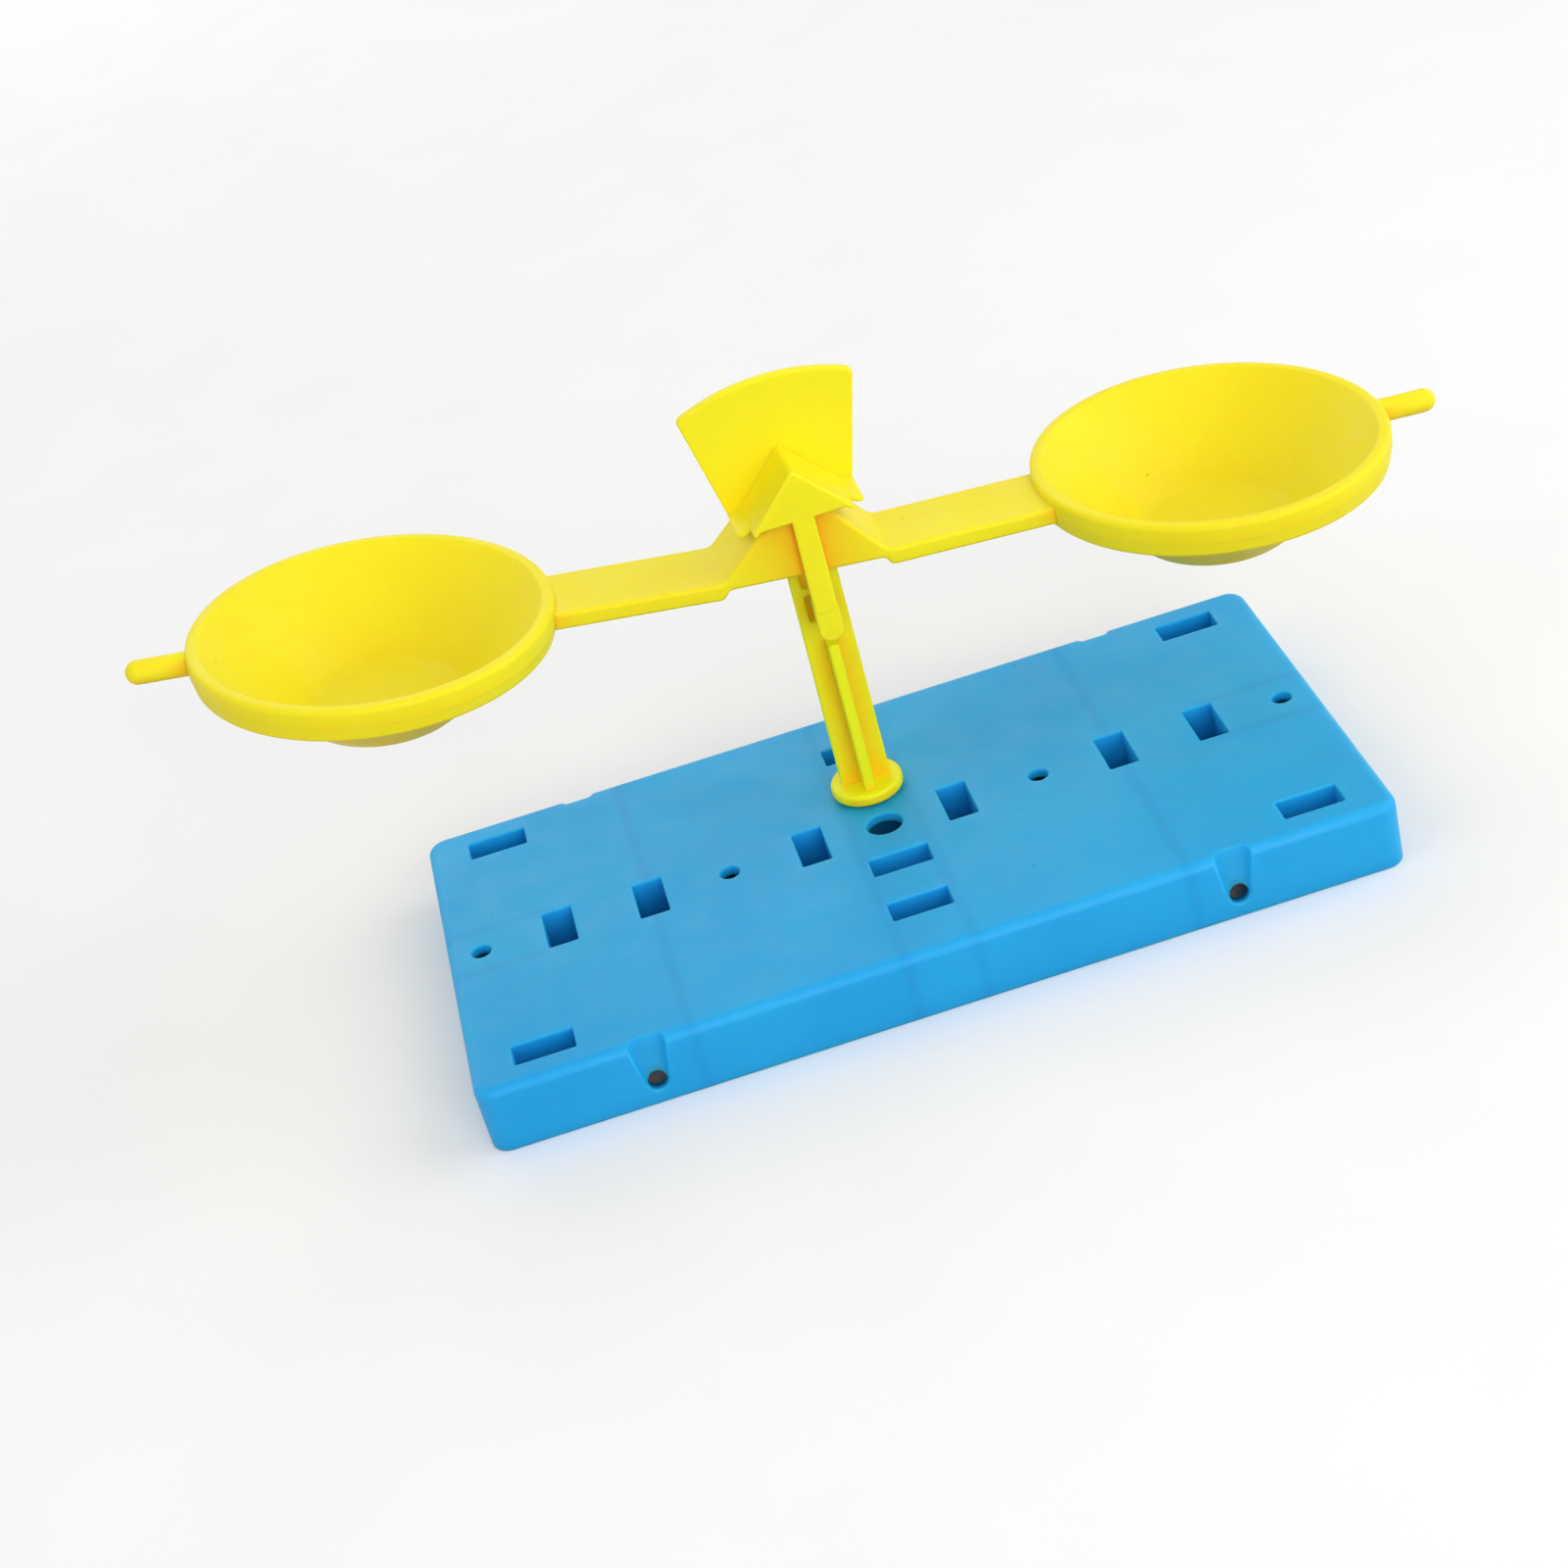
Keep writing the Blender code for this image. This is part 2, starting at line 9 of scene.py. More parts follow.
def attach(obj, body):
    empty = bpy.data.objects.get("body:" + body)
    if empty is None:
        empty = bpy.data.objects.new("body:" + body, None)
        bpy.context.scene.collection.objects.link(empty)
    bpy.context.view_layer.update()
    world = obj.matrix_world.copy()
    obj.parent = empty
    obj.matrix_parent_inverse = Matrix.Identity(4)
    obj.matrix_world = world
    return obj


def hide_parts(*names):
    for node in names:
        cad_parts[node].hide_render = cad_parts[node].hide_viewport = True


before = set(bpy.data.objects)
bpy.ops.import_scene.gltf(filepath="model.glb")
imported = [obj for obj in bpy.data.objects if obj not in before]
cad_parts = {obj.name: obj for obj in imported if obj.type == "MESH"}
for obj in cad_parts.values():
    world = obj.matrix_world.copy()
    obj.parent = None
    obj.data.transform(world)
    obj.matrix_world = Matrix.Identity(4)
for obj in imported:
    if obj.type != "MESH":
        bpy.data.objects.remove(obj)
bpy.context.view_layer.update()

# Fits, as in the part's source. Metres, +Z up, front is -Y.
GAP = 0.0003
SWING_GAP = 0.0004
OVERLAP = 0.0004
CUT_PAST = 0.002
WELD = 0.000001

# Base tray
BASE_LENGTH = 0.150
BASE_DEPTH = 0.075
BASE_HEIGHT = 0.012
BASE_WALL = 0.0020
BASE_TOP = 0.0018
BASE_CORNER_R = 0.0032
BASE_EDGE_R = 0.0016
BASE_FOOT_R = 0.0003
SOCKET_WALL = 0.0014
SOCKET_BOTTOM = 0.0020
RIB_THICK = 0.0014
RIB_BOTTOM = 0.0032

# Slots and holes in the tray's top
SLOT_LONG = 0.0100
SLOT_SHORT = 0.0050
SLOT_CORNER_R = 0.0003
LIP_R = 0.0003
ROW_SLOT_X = (0.0126, 0.0403, 0.0559)
CORNER_SLOT_FROM_END = 0.01215
CORNER_SLOT_FROM_SIDE = 0.0073
NEAR_SLOT_Y = 0.01137
FAR_SLOT_Y = 0.02444
PIN_HOLE_R = 0.0017
ROW_HOLE_X = 0.0267
END_HOLE_FROM_END = 0.0057
MIDDLE_HOLE_R = 0.00305

# Notches in the tray's long walls
NOTCH_X = 0.0475
NOTCH_WIDTH = 0.0061
NOTCH_ROUND_R = 0.0018
NOTCH_FLARE = 0.0006
NOTCH_LIP_R = 0.0004
NOTCH_CURVE = 0.0013
NOTCH_DEGREES = range(90, 17, -9)
NOTCH_RUN_OUT = 0.2
NOTCH_THIN = 0.0006
NOTCH_DEPTH = 0.0016
NOTCH_WALL = 0.0011
NOTCH_HOLE_R = 0.0016
NOTCH_HOLE_DROP = 0.0079

# Post
FLANGE_R = 0.0061
FLANGE_THICK = 0.0021
FLANGE_EDGE = 0.0006
TENON_DEPTH = 0.0072
PLATE_WIDTH_FOOT = 0.0084
PLATE_WIDTH_HEAD = 0.0080
PLATE_THICK = 0.0020
RIB_WIDTH = 0.0018
RIB_REACH = 0.0044
FRONT_RIB_TOP = 0.0310
WINDOW_WIDTH = 0.0048
CROSSBAR_HEIGHT = 0.0013
UPPER_WINDOW_TOP = 0.0455
WINDOW_BACK = 0.0008
KNIFE_ABOVE_TOP = 0.0581
KNIFE_ANGLE = math.radians(62)
POST_EDGE = 0.00022

# Beam
REST_TILT = math.radians(6.0)
MAX_TILT = math.radians(8.0)
BEAM_WIDTH = 0.0140
BAR_THICK = 0.0029
ARM_RISE = math.radians(2.2)
ROOF_HALF = 0.0133
ROOF_ANGLE = math.radians(46)
ROOF_THICK = 0.0020
WEB_THICK = 0.0016
WEB_LIFT = 0.0015
STEP_LENGTH = 0.0026
STEP_TOP_BACK = 0.75 * STEP_LENGTH
STEP_FOOT_BACK = 0.40 * STEP_LENGTH
STEP_END_AHEAD = 0.25 * STEP_LENGTH
BEAM_EDGE = 0.0006
CREASE_R = 0.0022
STEP_R = 0.0012
RIDGE_R = 0.0008

# Pans
PAN_X = 0.06835
PAN_R = 0.0289
PAN_BAND_HEIGHT = 0.0056
PAN_LIP_WIDTH = 0.0019
PAN_JOIN = 0.7 * PAN_LIP_WIDTH
PAN_LIP_R = 0.0009
PAN_BAND_TAPER = 0.0004
PAN_ABOVE_BAR = 0.0016
PAN_INNER_DEPTH = 0.0146
PAN_FLOOR_R = 0.0120
PAN_FLOOR_FILLET = 0.0040
PAN_FLOOR_THICK = 0.0020
PAN_PART_LINE = 0.0030
PART_STEP = 0.00010
PAN_SEGMENTS = 144

# End pegs
PEG_R = 0.00195
PEG_REACH = 0.0095
PEG_DROP = 0.0024
PEG_SEGMENTS = 40

# Dial cap
SADDLE_THICK = 0.0009
SADDLE_EDGE = 0.45 * SADDLE_THICK
SADDLE_SINK = SADDLE_THICK / 2
SADDLE_ANGLE = math.radians(47)
SADDLE_HALF = 0.0083
SADDLE_LENGTH = 0.0108
EAVE_HALF = 0.0104
EAVE_RUN = 0.0095
EAVE_CORNER_R = 0.0010
EAVE_ANGLE = math.radians(25)
EAVE_BEND = SADDLE_HALF - SADDLE_THICK
EAVE_SINK = SADDLE_THICK / 4
EAVE_ROOT = EAVE_BEND - 2 * SADDLE_THICK
EAVE_ROOT_SINK = 0.12 * SADDLE_THICK
CAP_WALL = 0.0013
CAP_WALL_HALF = 0.0077
CAP_EDGE = 0.00036
FAN_THICK = 0.0017
FAN_FOOT_HALF = 0.0103
FAN_TOP_HALF = 0.0144
FAN_SIDE_TOP = 0.0736
FAN_TOP = 0.0767
FAN_CORNER_R = 0.0018
FAN_EDGE = 0.0004
TONGUE_TOP_WIDTH = 0.0038
TONGUE_TIP_WIDTH = 0.0040
TONGUE_TIP = 0.0342
TONGUE_STEP_UP = 0.0055
TONGUE_STEP = 0.0001
TONGUE_EDGE = 0.0003
CLIP_WIDTH = 0.0030
CLIP_HEIGHT = 0.0044
CLIP_LIFT = 0.0004

# Fineness of curves, and the angle from which an edge is shaded sharp
ROUND = 48
FILLET_SHARE = 0.48
SHARP_ANGLE = math.radians(42)

# Positions that follow from the sizes
BASE_Y = -(NEAR_SLOT_Y + PAN_R - BASE_DEPTH / 2) / 2
POST_Y = BASE_Y + NEAR_SLOT_Y
PIVOT_Z = BASE_HEIGHT + KNIFE_ABOVE_TOP
SOCKET_RIB = SLOT_LONG / 2 + SOCKET_WALL - RIB_THICK / 2


# Outlines

def arc(x, y, radius, start, end, steps):
    """Points along an arc, angles in radians."""
    angles = [start + (end - start) * i / steps for i in range(steps + 1)]
    return [(x + radius * math.cos(a), y + radius * math.sin(a)) for a in angles]


def circle(x, y, radius, steps=ROUND):
    """Points round a full circle."""
    return arc(x, y, radius, 0, 2 * math.pi, steps)[:-1]


def rectangle(x, y, width, depth):
    """Corners of a rectangle about a centre."""
    a, b = width / 2, depth / 2
    return [(x - a, y - b), (x + a, y - b), (x + a, y + b), (x - a, y + b)]


def rounded_rectangle(x, y, width, depth, radius, steps=10):
    """Outline of a rectangle with round corners, counter-clockwise from the right front corner."""
    points = []
    for corner, (sx, sy) in enumerate(((1, -1), (1, 1), (-1, 1), (-1, -1))):
        cx = x + sx * (width / 2 - radius)
        cy = y + sy * (depth / 2 - radius)
        start = (corner - 1) * math.pi / 2
        points += arc(cx, cy, radius, start, start + math.pi / 2, steps)
    return points


def fillet(before, corner, after, radius, steps):
    """The arc that rounds a corner between two straight runs."""
    here = Vector(corner)
    back = Vector(before) - here
    ahead = Vector(after) - here
    half = back.angle(ahead) / 2
    longest = FILLET_SHARE * min(back.length, ahead.length)
    reach = min(radius / math.tan(half), longest)
    radius = reach * math.tan(half)
    middle = here + (back.normalized() + ahead.normalized()).normalized() * radius / math.sin(half)
    first = here + back.normalized() * reach - middle
    last = here + ahead.normalized() * reach - middle
    sweep = first.angle_signed(last)
    turns = [Matrix.Rotation(-sweep * i / steps, 2) for i in range(steps + 1)]
    return [tuple(middle + turn @ first) for turn in turns]


def rounded(corners, steps=5, closed=True):
    """An outline from (u, v, radius) corners, each turned into an arc of that radius."""
    points = []
    last = len(corners) - 1
    for i, (u, v, radius) in enumerate(corners):
        at_end = not closed and i in (0, last)
        if radius and not at_end:
            before = corners[i - 1][:2]
            after = corners[(i + 1) % len(corners)][:2]
            points += fillet(before, (u, v), after, radius, steps)
        else:
            points.append((u, v))
    return points


def signed_area(outline):
    """The area inside an outline, positive where it runs counter-clockwise."""
    pairs = zip(outline, outline[1:] + outline[:1])
    return sum(x0 * y1 - x1 * y0 for (x0, y0), (x1, y1) in pairs) / 2


def inset(outline, distance):
    """The outline drawn inwards by a distance along its mitred corners."""
    points = [Vector(point) for point in outline]
    side = 1 if signed_area(outline) > 0 else -1
    moved = []
    for i, here in enumerate(points):
        run_in = (here - points[i - 1]).normalized()
        run_out = (points[(i + 1) % len(points)] - here).normalized()
        normal_in = Vector((-run_in.y, run_in.x)) * side
        normal_out = Vector((-run_out.y, run_out.x)) * side
        mitre = (normal_in + normal_out) / (1 + normal_in.dot(normal_out))
        moved.append(tuple(here + mitre * distance))
    return moved


def edge_levels(radius, steps=4):
    """(distance below the top, distance in from the side) along a quarter round, from the side up."""
    turns = [math.pi / 2 * i / steps for i in range(steps + 1)]
    return [(radius * (1 - math.sin(a)), radius * (1 - math.cos(a))) for a in turns]


def soft_levels(low, high, edge):
    """(level, inset) pairs from low to high with both ends rounded over."""
    if not edge:
        return [(low, 0), (high, 0)]
    levels = edge_levels(edge)
    return [(low + d, i) for d, i in reversed(levels)] + [(high - d, i) for d, i in levels]


def both(values):
    """Each value with both signs."""
    return [sign * value for value in values for sign in (-1, 1)]


# Meshes

def add_loft(bm, loops):
    """Adds a closed skin through loops of equal length, capped at both ends."""
    rings = [[bm.verts.new(point) for point in loop] for loop in loops]
    for low, high in zip(rings, rings[1:]):
        for i in range(len(low)):
            j = (i + 1) % len(low)
            bm.faces.new((low[i], low[j], high[j], high[i]))
    bm.faces.new(rings[0])
    bm.faces.new(rings[-1])


def mesh_object(name, bm):
    """A new object that holds the bmesh, with its faces turned outwards."""
    bmesh.ops.recalc_face_normals(bm, faces=bm.faces)
    mesh = bpy.data.meshes.new(name)
    bm.to_mesh(mesh)
    bm.free()
    obj = bpy.data.objects.new(name, mesh)
    bpy.context.scene.collection.objects.link(obj)
    return obj


def slab(name, outlines, z0, z1, edge=0):
    """XY outlines raised from z0 to z1, with rounded rims."""
    bm = bmesh.new()
    levels = soft_levels(z0, z1, edge)
    for outline in outlines:
        add_loft(bm, [[(x, y, z) for x, y in inset(outline, i)] for z, i in levels])
    return mesh_object(name, bm)


def prism(name, outlines, y0, y1, edge=0):
    """XZ outlines drawn from y0 to y1, with rounded rims."""
    bm = bmesh.new()
    levels = soft_levels(y0, y1, edge)
    for outline in outlines:
        add_loft(bm, [[(x, y, z) for x, z in inset(outline, i)] for y, i in levels])
    return mesh_object(name, bm)


def lathe(name, profile, segments):
    """A solid turned about Z from (radius, height) points that start and end on the axis."""
    bm = bmesh.new()
    foot = bm.verts.new((0, 0, profile[0][1]))
    crown = bm.verts.new((0, 0, profile[-1][1]))
    rings = []
    for radius, height in profile[1:-1]:
        points = circle(0, 0, radius, segments)
        rings.append([bm.verts.new((x, y, height)) for x, y in points])
    for i in range(segments):
        j = (i + 1) % segments
        bm.faces.new((foot, rings[0][j], rings[0][i]))
        bm.faces.new((crown, rings[-1][i], rings[-1][j]))
        for low, high in zip(rings, rings[1:]):
            bm.faces.new((low[i], low[j], high[j], high[i]))
    return mesh_object(name, bm)


def combine(target, tools, operation):
    """Exact Booleans with helper objects."""
    for tool in tools:
        modifier = target.modifiers.new(tool.name, "BOOLEAN")
        modifier.operation = operation
        modifier.solver = "EXACT"
        modifier.object = tool


def cleaned(mesh):
    """Points that fall together are welded, and points that only bend an edge are dropped."""
    bm = bmesh.new()
    bm.from_mesh(mesh)
    bmesh.ops.remove_doubles(bm, verts=bm.verts[:], dist=WELD)
    bmesh.ops.dissolve_degenerate(bm, edges=bm.edges[:], dist=WELD)
    bends = [point for point in bm.verts if len(point.link_edges) == 2]
    bmesh.ops.dissolve_verts(bm, verts=bends)
    bm.to_mesh(mesh)
    bm.free()


def settled(obj, name):
    """The finished shape of a helper as a plain mesh object, with its helpers removed."""
    graph = bpy.context.evaluated_depsgraph_get()
    mesh = bpy.data.meshes.new_from_object(obj.evaluated_get(graph))
    mesh.name = name
    cleaned(mesh)
    for modifier in list(obj.modifiers):
        bpy.data.objects.remove(modifier.object)
    bpy.data.objects.remove(obj)
    piece = bpy.data.objects.new(name, mesh)
    bpy.context.scene.collection.objects.link(piece)
    return piece


def finish_piece(piece, body, node, material):
    """Smooth shading, finish and place in the frame."""
    piece.data.materials.clear()
    piece.data.materials.append(material)
    piece.data.shade_smooth()
    piece.data.set_sharp_from_angle(angle=SHARP_ANGLE)
    weighted = piece.modifiers.new("weighted_normals", "WEIGHTED_NORMAL")
    weighted.keep_sharp = True
    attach(piece, body)
    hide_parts(node)


# Base tray

def slot_centres():
    """Every slot as (x, y, width, depth), measured from the tray's middle."""
    row = [(x, 0, SLOT_SHORT, SLOT_LONG) for x in both(ROW_SLOT_X)]
    corner = [
        (x, y, SLOT_LONG, SLOT_SHORT)
        for x in both((BASE_LENGTH / 2 - CORNER_SLOT_FROM_END,))
        for y in both((BASE_DEPTH / 2 - CORNER_SLOT_FROM_SIDE,))
    ]
    middle = [(0, y, SLOT_LONG, SLOT_SHORT) for y in both((NEAR_SLOT_Y, FAR_SLOT_Y))]
    return row + corner + middle


def tray_body():
    """The tray's outside, with its edges rounded over."""
    levels = edge_levels(BASE_FOOT_R, steps=3)[::-1]
    levels += [(BASE_HEIGHT - drop, inside) for drop, inside in edge_levels(BASE_EDGE_R, steps=8)]
    loops = []
    for z, inside in levels:
        length = BASE_LENGTH - 2 * inside
        depth = BASE_DEPTH - 2 * inside
        outline = rounded_rectangle(0, BASE_Y, length, depth, BASE_CORNER_R - inside)
        loops.append([(x, y, z) for x, y in outline])
    bm = bmesh.new()
    add_loft(bm, loops)
    return mesh_object("tray_body", bm)


def rib_outlines():
    """The ribs under the top: four from front to back, and two from each end to the row's last slot."""
    across = [rectangle(x, BASE_Y, RIB_THICK, BASE_DEPTH) for x in both((ROW_SLOT_X[1], SOCKET_RIB))]
    end_run = BASE_LENGTH / 2 - ROW_SLOT_X[2]
    along = [
        rectangle(x, BASE_Y + y, end_run, RIB_THICK)
        for x in both((BASE_LENGTH / 2 - end_run / 2,))
        for y in both((SOCKET_RIB,))
    ]
    return across + along


def socket_outlines():
    """The sockets under the slots, with their walls."""
    return [
        rectangle(x, BASE_Y + y, width + 2 * SOCKET_WALL, depth + 2 * SOCKET_WALL)
        for x, y, width, depth in slot_centres()
    ]


def boss_outlines():
    """The thicker places of the long walls behind the notches."""
    width = NOTCH_WIDTH + 2 * (NOTCH_FLARE + BASE_WALL)
    return [
        rectangle(x, BASE_Y + y, width, 2 * (NOTCH_DEPTH + NOTCH_WALL))
        for x in both((NOTCH_X,))
        for y in both((BASE_DEPTH / 2,))
    ]


def tray_hollow():
    """The space under the tray's top, less its ribs, sockets and notch bosses."""
    length = BASE_LENGTH - 2 * BASE_WALL
    depth = BASE_DEPTH - 2 * BASE_WALL
    outline = rounded_rectangle(0, BASE_Y, length, depth, BASE_CORNER_R - BASE_WALL)
    hollow = slab("tray_hollow", [outline], -CUT_PAST, BASE_HEIGHT - BASE_TOP)
    kept = [
        slab("tray_ribs", rib_outlines(), RIB_BOTTOM, BASE_HEIGHT),
        slab("tray_sockets", socket_outlines(), SOCKET_BOTTOM, BASE_HEIGHT),
        slab("tray_bosses", boss_outlines(), -2 * CUT_PAST, BASE_HEIGHT),
    ]
    combine(hollow, kept, "DIFFERENCE")
    return settled(hollow, "tray_space")


def through_cutter():
    """Every slot and hole of the top, each with a mouth that rounds over."""
    levels = [(-CUT_PAST, 0)]
    levels += [(BASE_HEIGHT - drop, grow) for drop, grow in edge_levels(LIP_R)]
    levels.append((BASE_HEIGHT + CUT_PAST, LIP_R))
    pin_x = (ROW_HOLE_X, BASE_LENGTH / 2 - END_HOLE_FROM_END)
    outlines = [circle(x, BASE_Y, PIN_HOLE_R) for x in both(pin_x)]
    outlines.append(circle(0, BASE_Y, MIDDLE_HOLE_R))
    for x, y, width, depth in slot_centres():
        outlines.append(rounded_rectangle(x, BASE_Y + y, width, depth, SLOT_CORNER_R, steps=4))
    bm = bmesh.new()
    for outline in outlines:
        add_loft(bm, [[(x, y, z) for x, y in inset(outline, -grow)] for z, grow in levels])
    return mesh_object("tray_through", bm)


def notch_outline(x, flare):
    """The notch seen from the front: its sides run down to touch a round bottom about its hole."""
    half = NOTCH_WIDTH / 2 + flare
    radius = NOTCH_ROUND_R + flare
    reach = math.hypot(half, NOTCH_HOLE_DROP)
    touch = math.atan2(NOTCH_HOLE_DROP, half) - math.acos(radius / reach)
    top = BASE_HEIGHT + CUT_PAST
    top_half = half + CUT_PAST * math.tan(-touch)
    middle = BASE_HEIGHT - NOTCH_HOLE_DROP
    bottom = arc(x, middle, radius, math.pi - touch, 2 * math.pi + touch, steps=24)
    return [(x + top_half, top), (x - top_half, top)] + bottom


def notch_share(z):
    """How much of its depth a notch has at a height: it runs out towards its hole."""
    low = BASE_HEIGHT - NOTCH_HOLE_DROP - NOTCH_ROUND_R
    return NOTCH_RUN_OUT + (z - low) / (BASE_HEIGHT - low)


def notch_levels():
    """(depth, flare) pairs from a notch's deepest line, over its lip and out of the wall."""
    turns = [math.radians(angle) for angle in NOTCH_DEGREES]
    curve = [(NOTCH_DEPTH * math.sin(a), NOTCH_CURVE * (math.cos(a) - 1)) for a in turns]
    return curve + edge_levels(NOTCH_LIP_R) + [(-CUT_PAST, NOTCH_LIP_R)]


def notch_grooves(face, side, word):
    """Both notches of the long wall that has its face there: side is -1 for the front wall."""
    bm = bmesh.new()
    for x in both((NOTCH_X,)):
        loops = []
        for depth, flare in notch_levels():
            outline = notch_outline(x, flare)
            loops.append([(u, face - side * depth * notch_share(z), z) for u, z in outline])
        add_loft(bm, loops)
    return mesh_object(f"notch_{word}", bm)


def notch_holes(face, side, word):
    """The holes of both notches of a wall, and the wider reliefs behind them."""
    middle = BASE_HEIGHT - NOTCH_HOLE_DROP
    inner = face - side * (NOTCH_DEPTH + NOTCH_WALL + CUT_PAST)
    thin = face - side * (NOTCH_DEPTH * notch_share(middle) + NOTCH_THIN)
    cutters = []
    for kind, radius, outer in (
        ("hole", NOTCH_HOLE_R, face + side * CUT_PAST),
        ("relief", NOTCH_HOLE_R + NOTCH_THIN, thin),
    ):
        pins = [circle(x, middle, radius) for x in both((NOTCH_X,))]
        cutters.append(prism(f"notch_{kind}_{word}", pins, *sorted((inner, outer))))
    return cutters


def build_base(material):
    """The tray, less its hollow, slots, holes and notches."""
    tray = tray_body()
    cutters = [tray_hollow(), through_cutter()]
    for side, word in ((-1, "front"), (1, "back")):
        face = BASE_Y + side * BASE_DEPTH / 2
        cutters.append(notch_grooves(face, side, word))
        cutters += notch_holes(face, side, word)
    combine(tray, cutters, "DIFFERENCE")
    piece = settled(tray, "base_tray")
    finish_piece(piece, "stand", "base", material)


# Post

def plate_outline():
    """The post's plate seen from the front, narrowing to the knife edge."""
    foot = BASE_HEIGHT + GAP + FLANGE_THICK - OVERLAP
    head_half = PLATE_WIDTH_HEAD / 2
    neck_half = RIB_WIDTH / 4
    neck = PIVOT_Z - RIB_WIDTH / 2 * math.tan(KNIFE_ANGLE) - OVERLAP
    shoulder = neck - (head_half - neck_half) * math.tan(KNIFE_ANGLE)
    right = [
        (PLATE_WIDTH_FOOT / 2, foot),
        (head_half, shoulder),
        (neck_half, neck),
    ]
    return right + [(-x, z) for x, z in reversed(right)]


def knife_outline():
    """The head's rib seen from the front, with the edge that the beam rocks on."""
    half = RIB_WIDTH / 2
    shoulder = PIVOT_Z - half * math.tan(KNIFE_ANGLE)
    bottom = BASE_HEIGHT + UPPER_WINDOW_TOP + OVERLAP
    return [(-half, bottom), (half, bottom), (half, shoulder), (0, PIVOT_Z), (-half, shoulder)]


def clip_levels():
    """Bottom and top of the cap's clip, above the table."""
    low = BASE_HEIGHT + TONGUE_TIP + CLIP_LIFT
    return low, low + CLIP_HEIGHT


def window_floor():
    """How far back the openings in the post's head reach."""
    return POST_Y + PLATE_THICK / 2 - WINDOW_BACK


def post_windows():
    """The two openings above each other in the head, with a crossbar between them."""
    low, high = clip_levels()
    low -= GAP
    high += GAP
    upper = (high + CROSSBAR_HEIGHT, BASE_HEIGHT + UPPER_WINDOW_TOP)
    outlines = [
        rounded_rectangle(0, (z0 + z1) / 2, WINDOW_WIDTH, z1 - z0, SLOT_CORNER_R, steps=4)
        for z0, z1 in ((low, high), upper)
    ]
    mouth = POST_Y - PLATE_THICK / 2 - CUT_PAST
    return prism("post_windows", outlines, mouth, window_floor())


def build_post(material):
    """The post: foot flange, plate, ribs, knife edge and the tenon that plugs into the tray."""
    foot = BASE_HEIGHT + GAP
    flange_top = foot + FLANGE_THICK
    post = slab("post_flange", [circle(0, POST_Y, FLANGE_R)], foot, flange_top, FLANGE_EDGE)
    half = PLATE_THICK / 2
    rib = [rectangle(0, POST_Y, RIB_WIDTH, 2 * RIB_REACH)]
    tenon = [rectangle(0, POST_Y, SLOT_LONG - 2 * GAP, SLOT_SHORT - 2 * GAP)]
    rib_top = BASE_HEIGHT + FRONT_RIB_TOP
    tenon_low = BASE_HEIGHT - TENON_DEPTH
    knife_ends = (POST_Y - RIB_REACH, POST_Y + RIB_REACH)
    parts = [
        prism("post_plate", [plate_outline()], POST_Y - half, POST_Y + half, POST_EDGE),
        slab("post_rib", rib, flange_top - OVERLAP, rib_top, POST_EDGE),
        prism("post_knife", [knife_outline()], *knife_ends, POST_EDGE),
        slab("post_tenon", tenon, tenon_low, foot + OVERLAP, POST_EDGE),
    ]
    combine(post, parts, "UNION")
    combine(post, [post_windows()], "DIFFERENCE")
    piece = settled(post, "post_column")
    finish_piece(piece, "stand", "post", material)


# Beam with its pans

def roof_apex():
    """Height of the roof's outer ridge above the pivot."""
    return GAP + ROOF_THICK / math.cos(ROOF_ANGLE)


def crease_z():
    """Height of the bar's top where it meets the roof, from the pivot."""
    return roof_apex() - ROOF_HALF * math.tan(ROOF_ANGLE)


def beam_outline():
    """Bars, roof and web seen from the front, about the pivot."""
    slope = math.tan(ARM_RISE)
    end = PAN_X - (PAN_R - PAN_JOIN)
    rise = (end - ROOF_HALF) * slope
    crease = crease_z()
    under = crease - BAR_THICK
    step = ROOF_HALF + STEP_LENGTH / 2
    bar_start = step + STEP_END_AHEAD
    right = [
        (step - STEP_TOP_BACK, under + WEB_LIFT, STEP_R),
        (step - STEP_FOOT_BACK, under, STEP_R),
        (bar_start, under + (bar_start - ROOF_HALF) * slope, 0),
        (end, under + rise, 0),
        (end, crease + rise, 0),
        (ROOF_HALF, crease, CREASE_R),
    ]
    left = [(-x, z, radius) for x, z, radius in reversed(right)]
    return rounded(right + [(0, roof_apex(), RIDGE_R)] + left, steps=6)


def roof_pocket_outline():
    """The hollow under the roof, open below."""
    bottom = crease_z() - BAR_THICK - CUT_PAST
    half = (GAP - bottom) / math.tan(ROOF_ANGLE)
    return [(-half, bottom), (half, bottom), (0, GAP)]


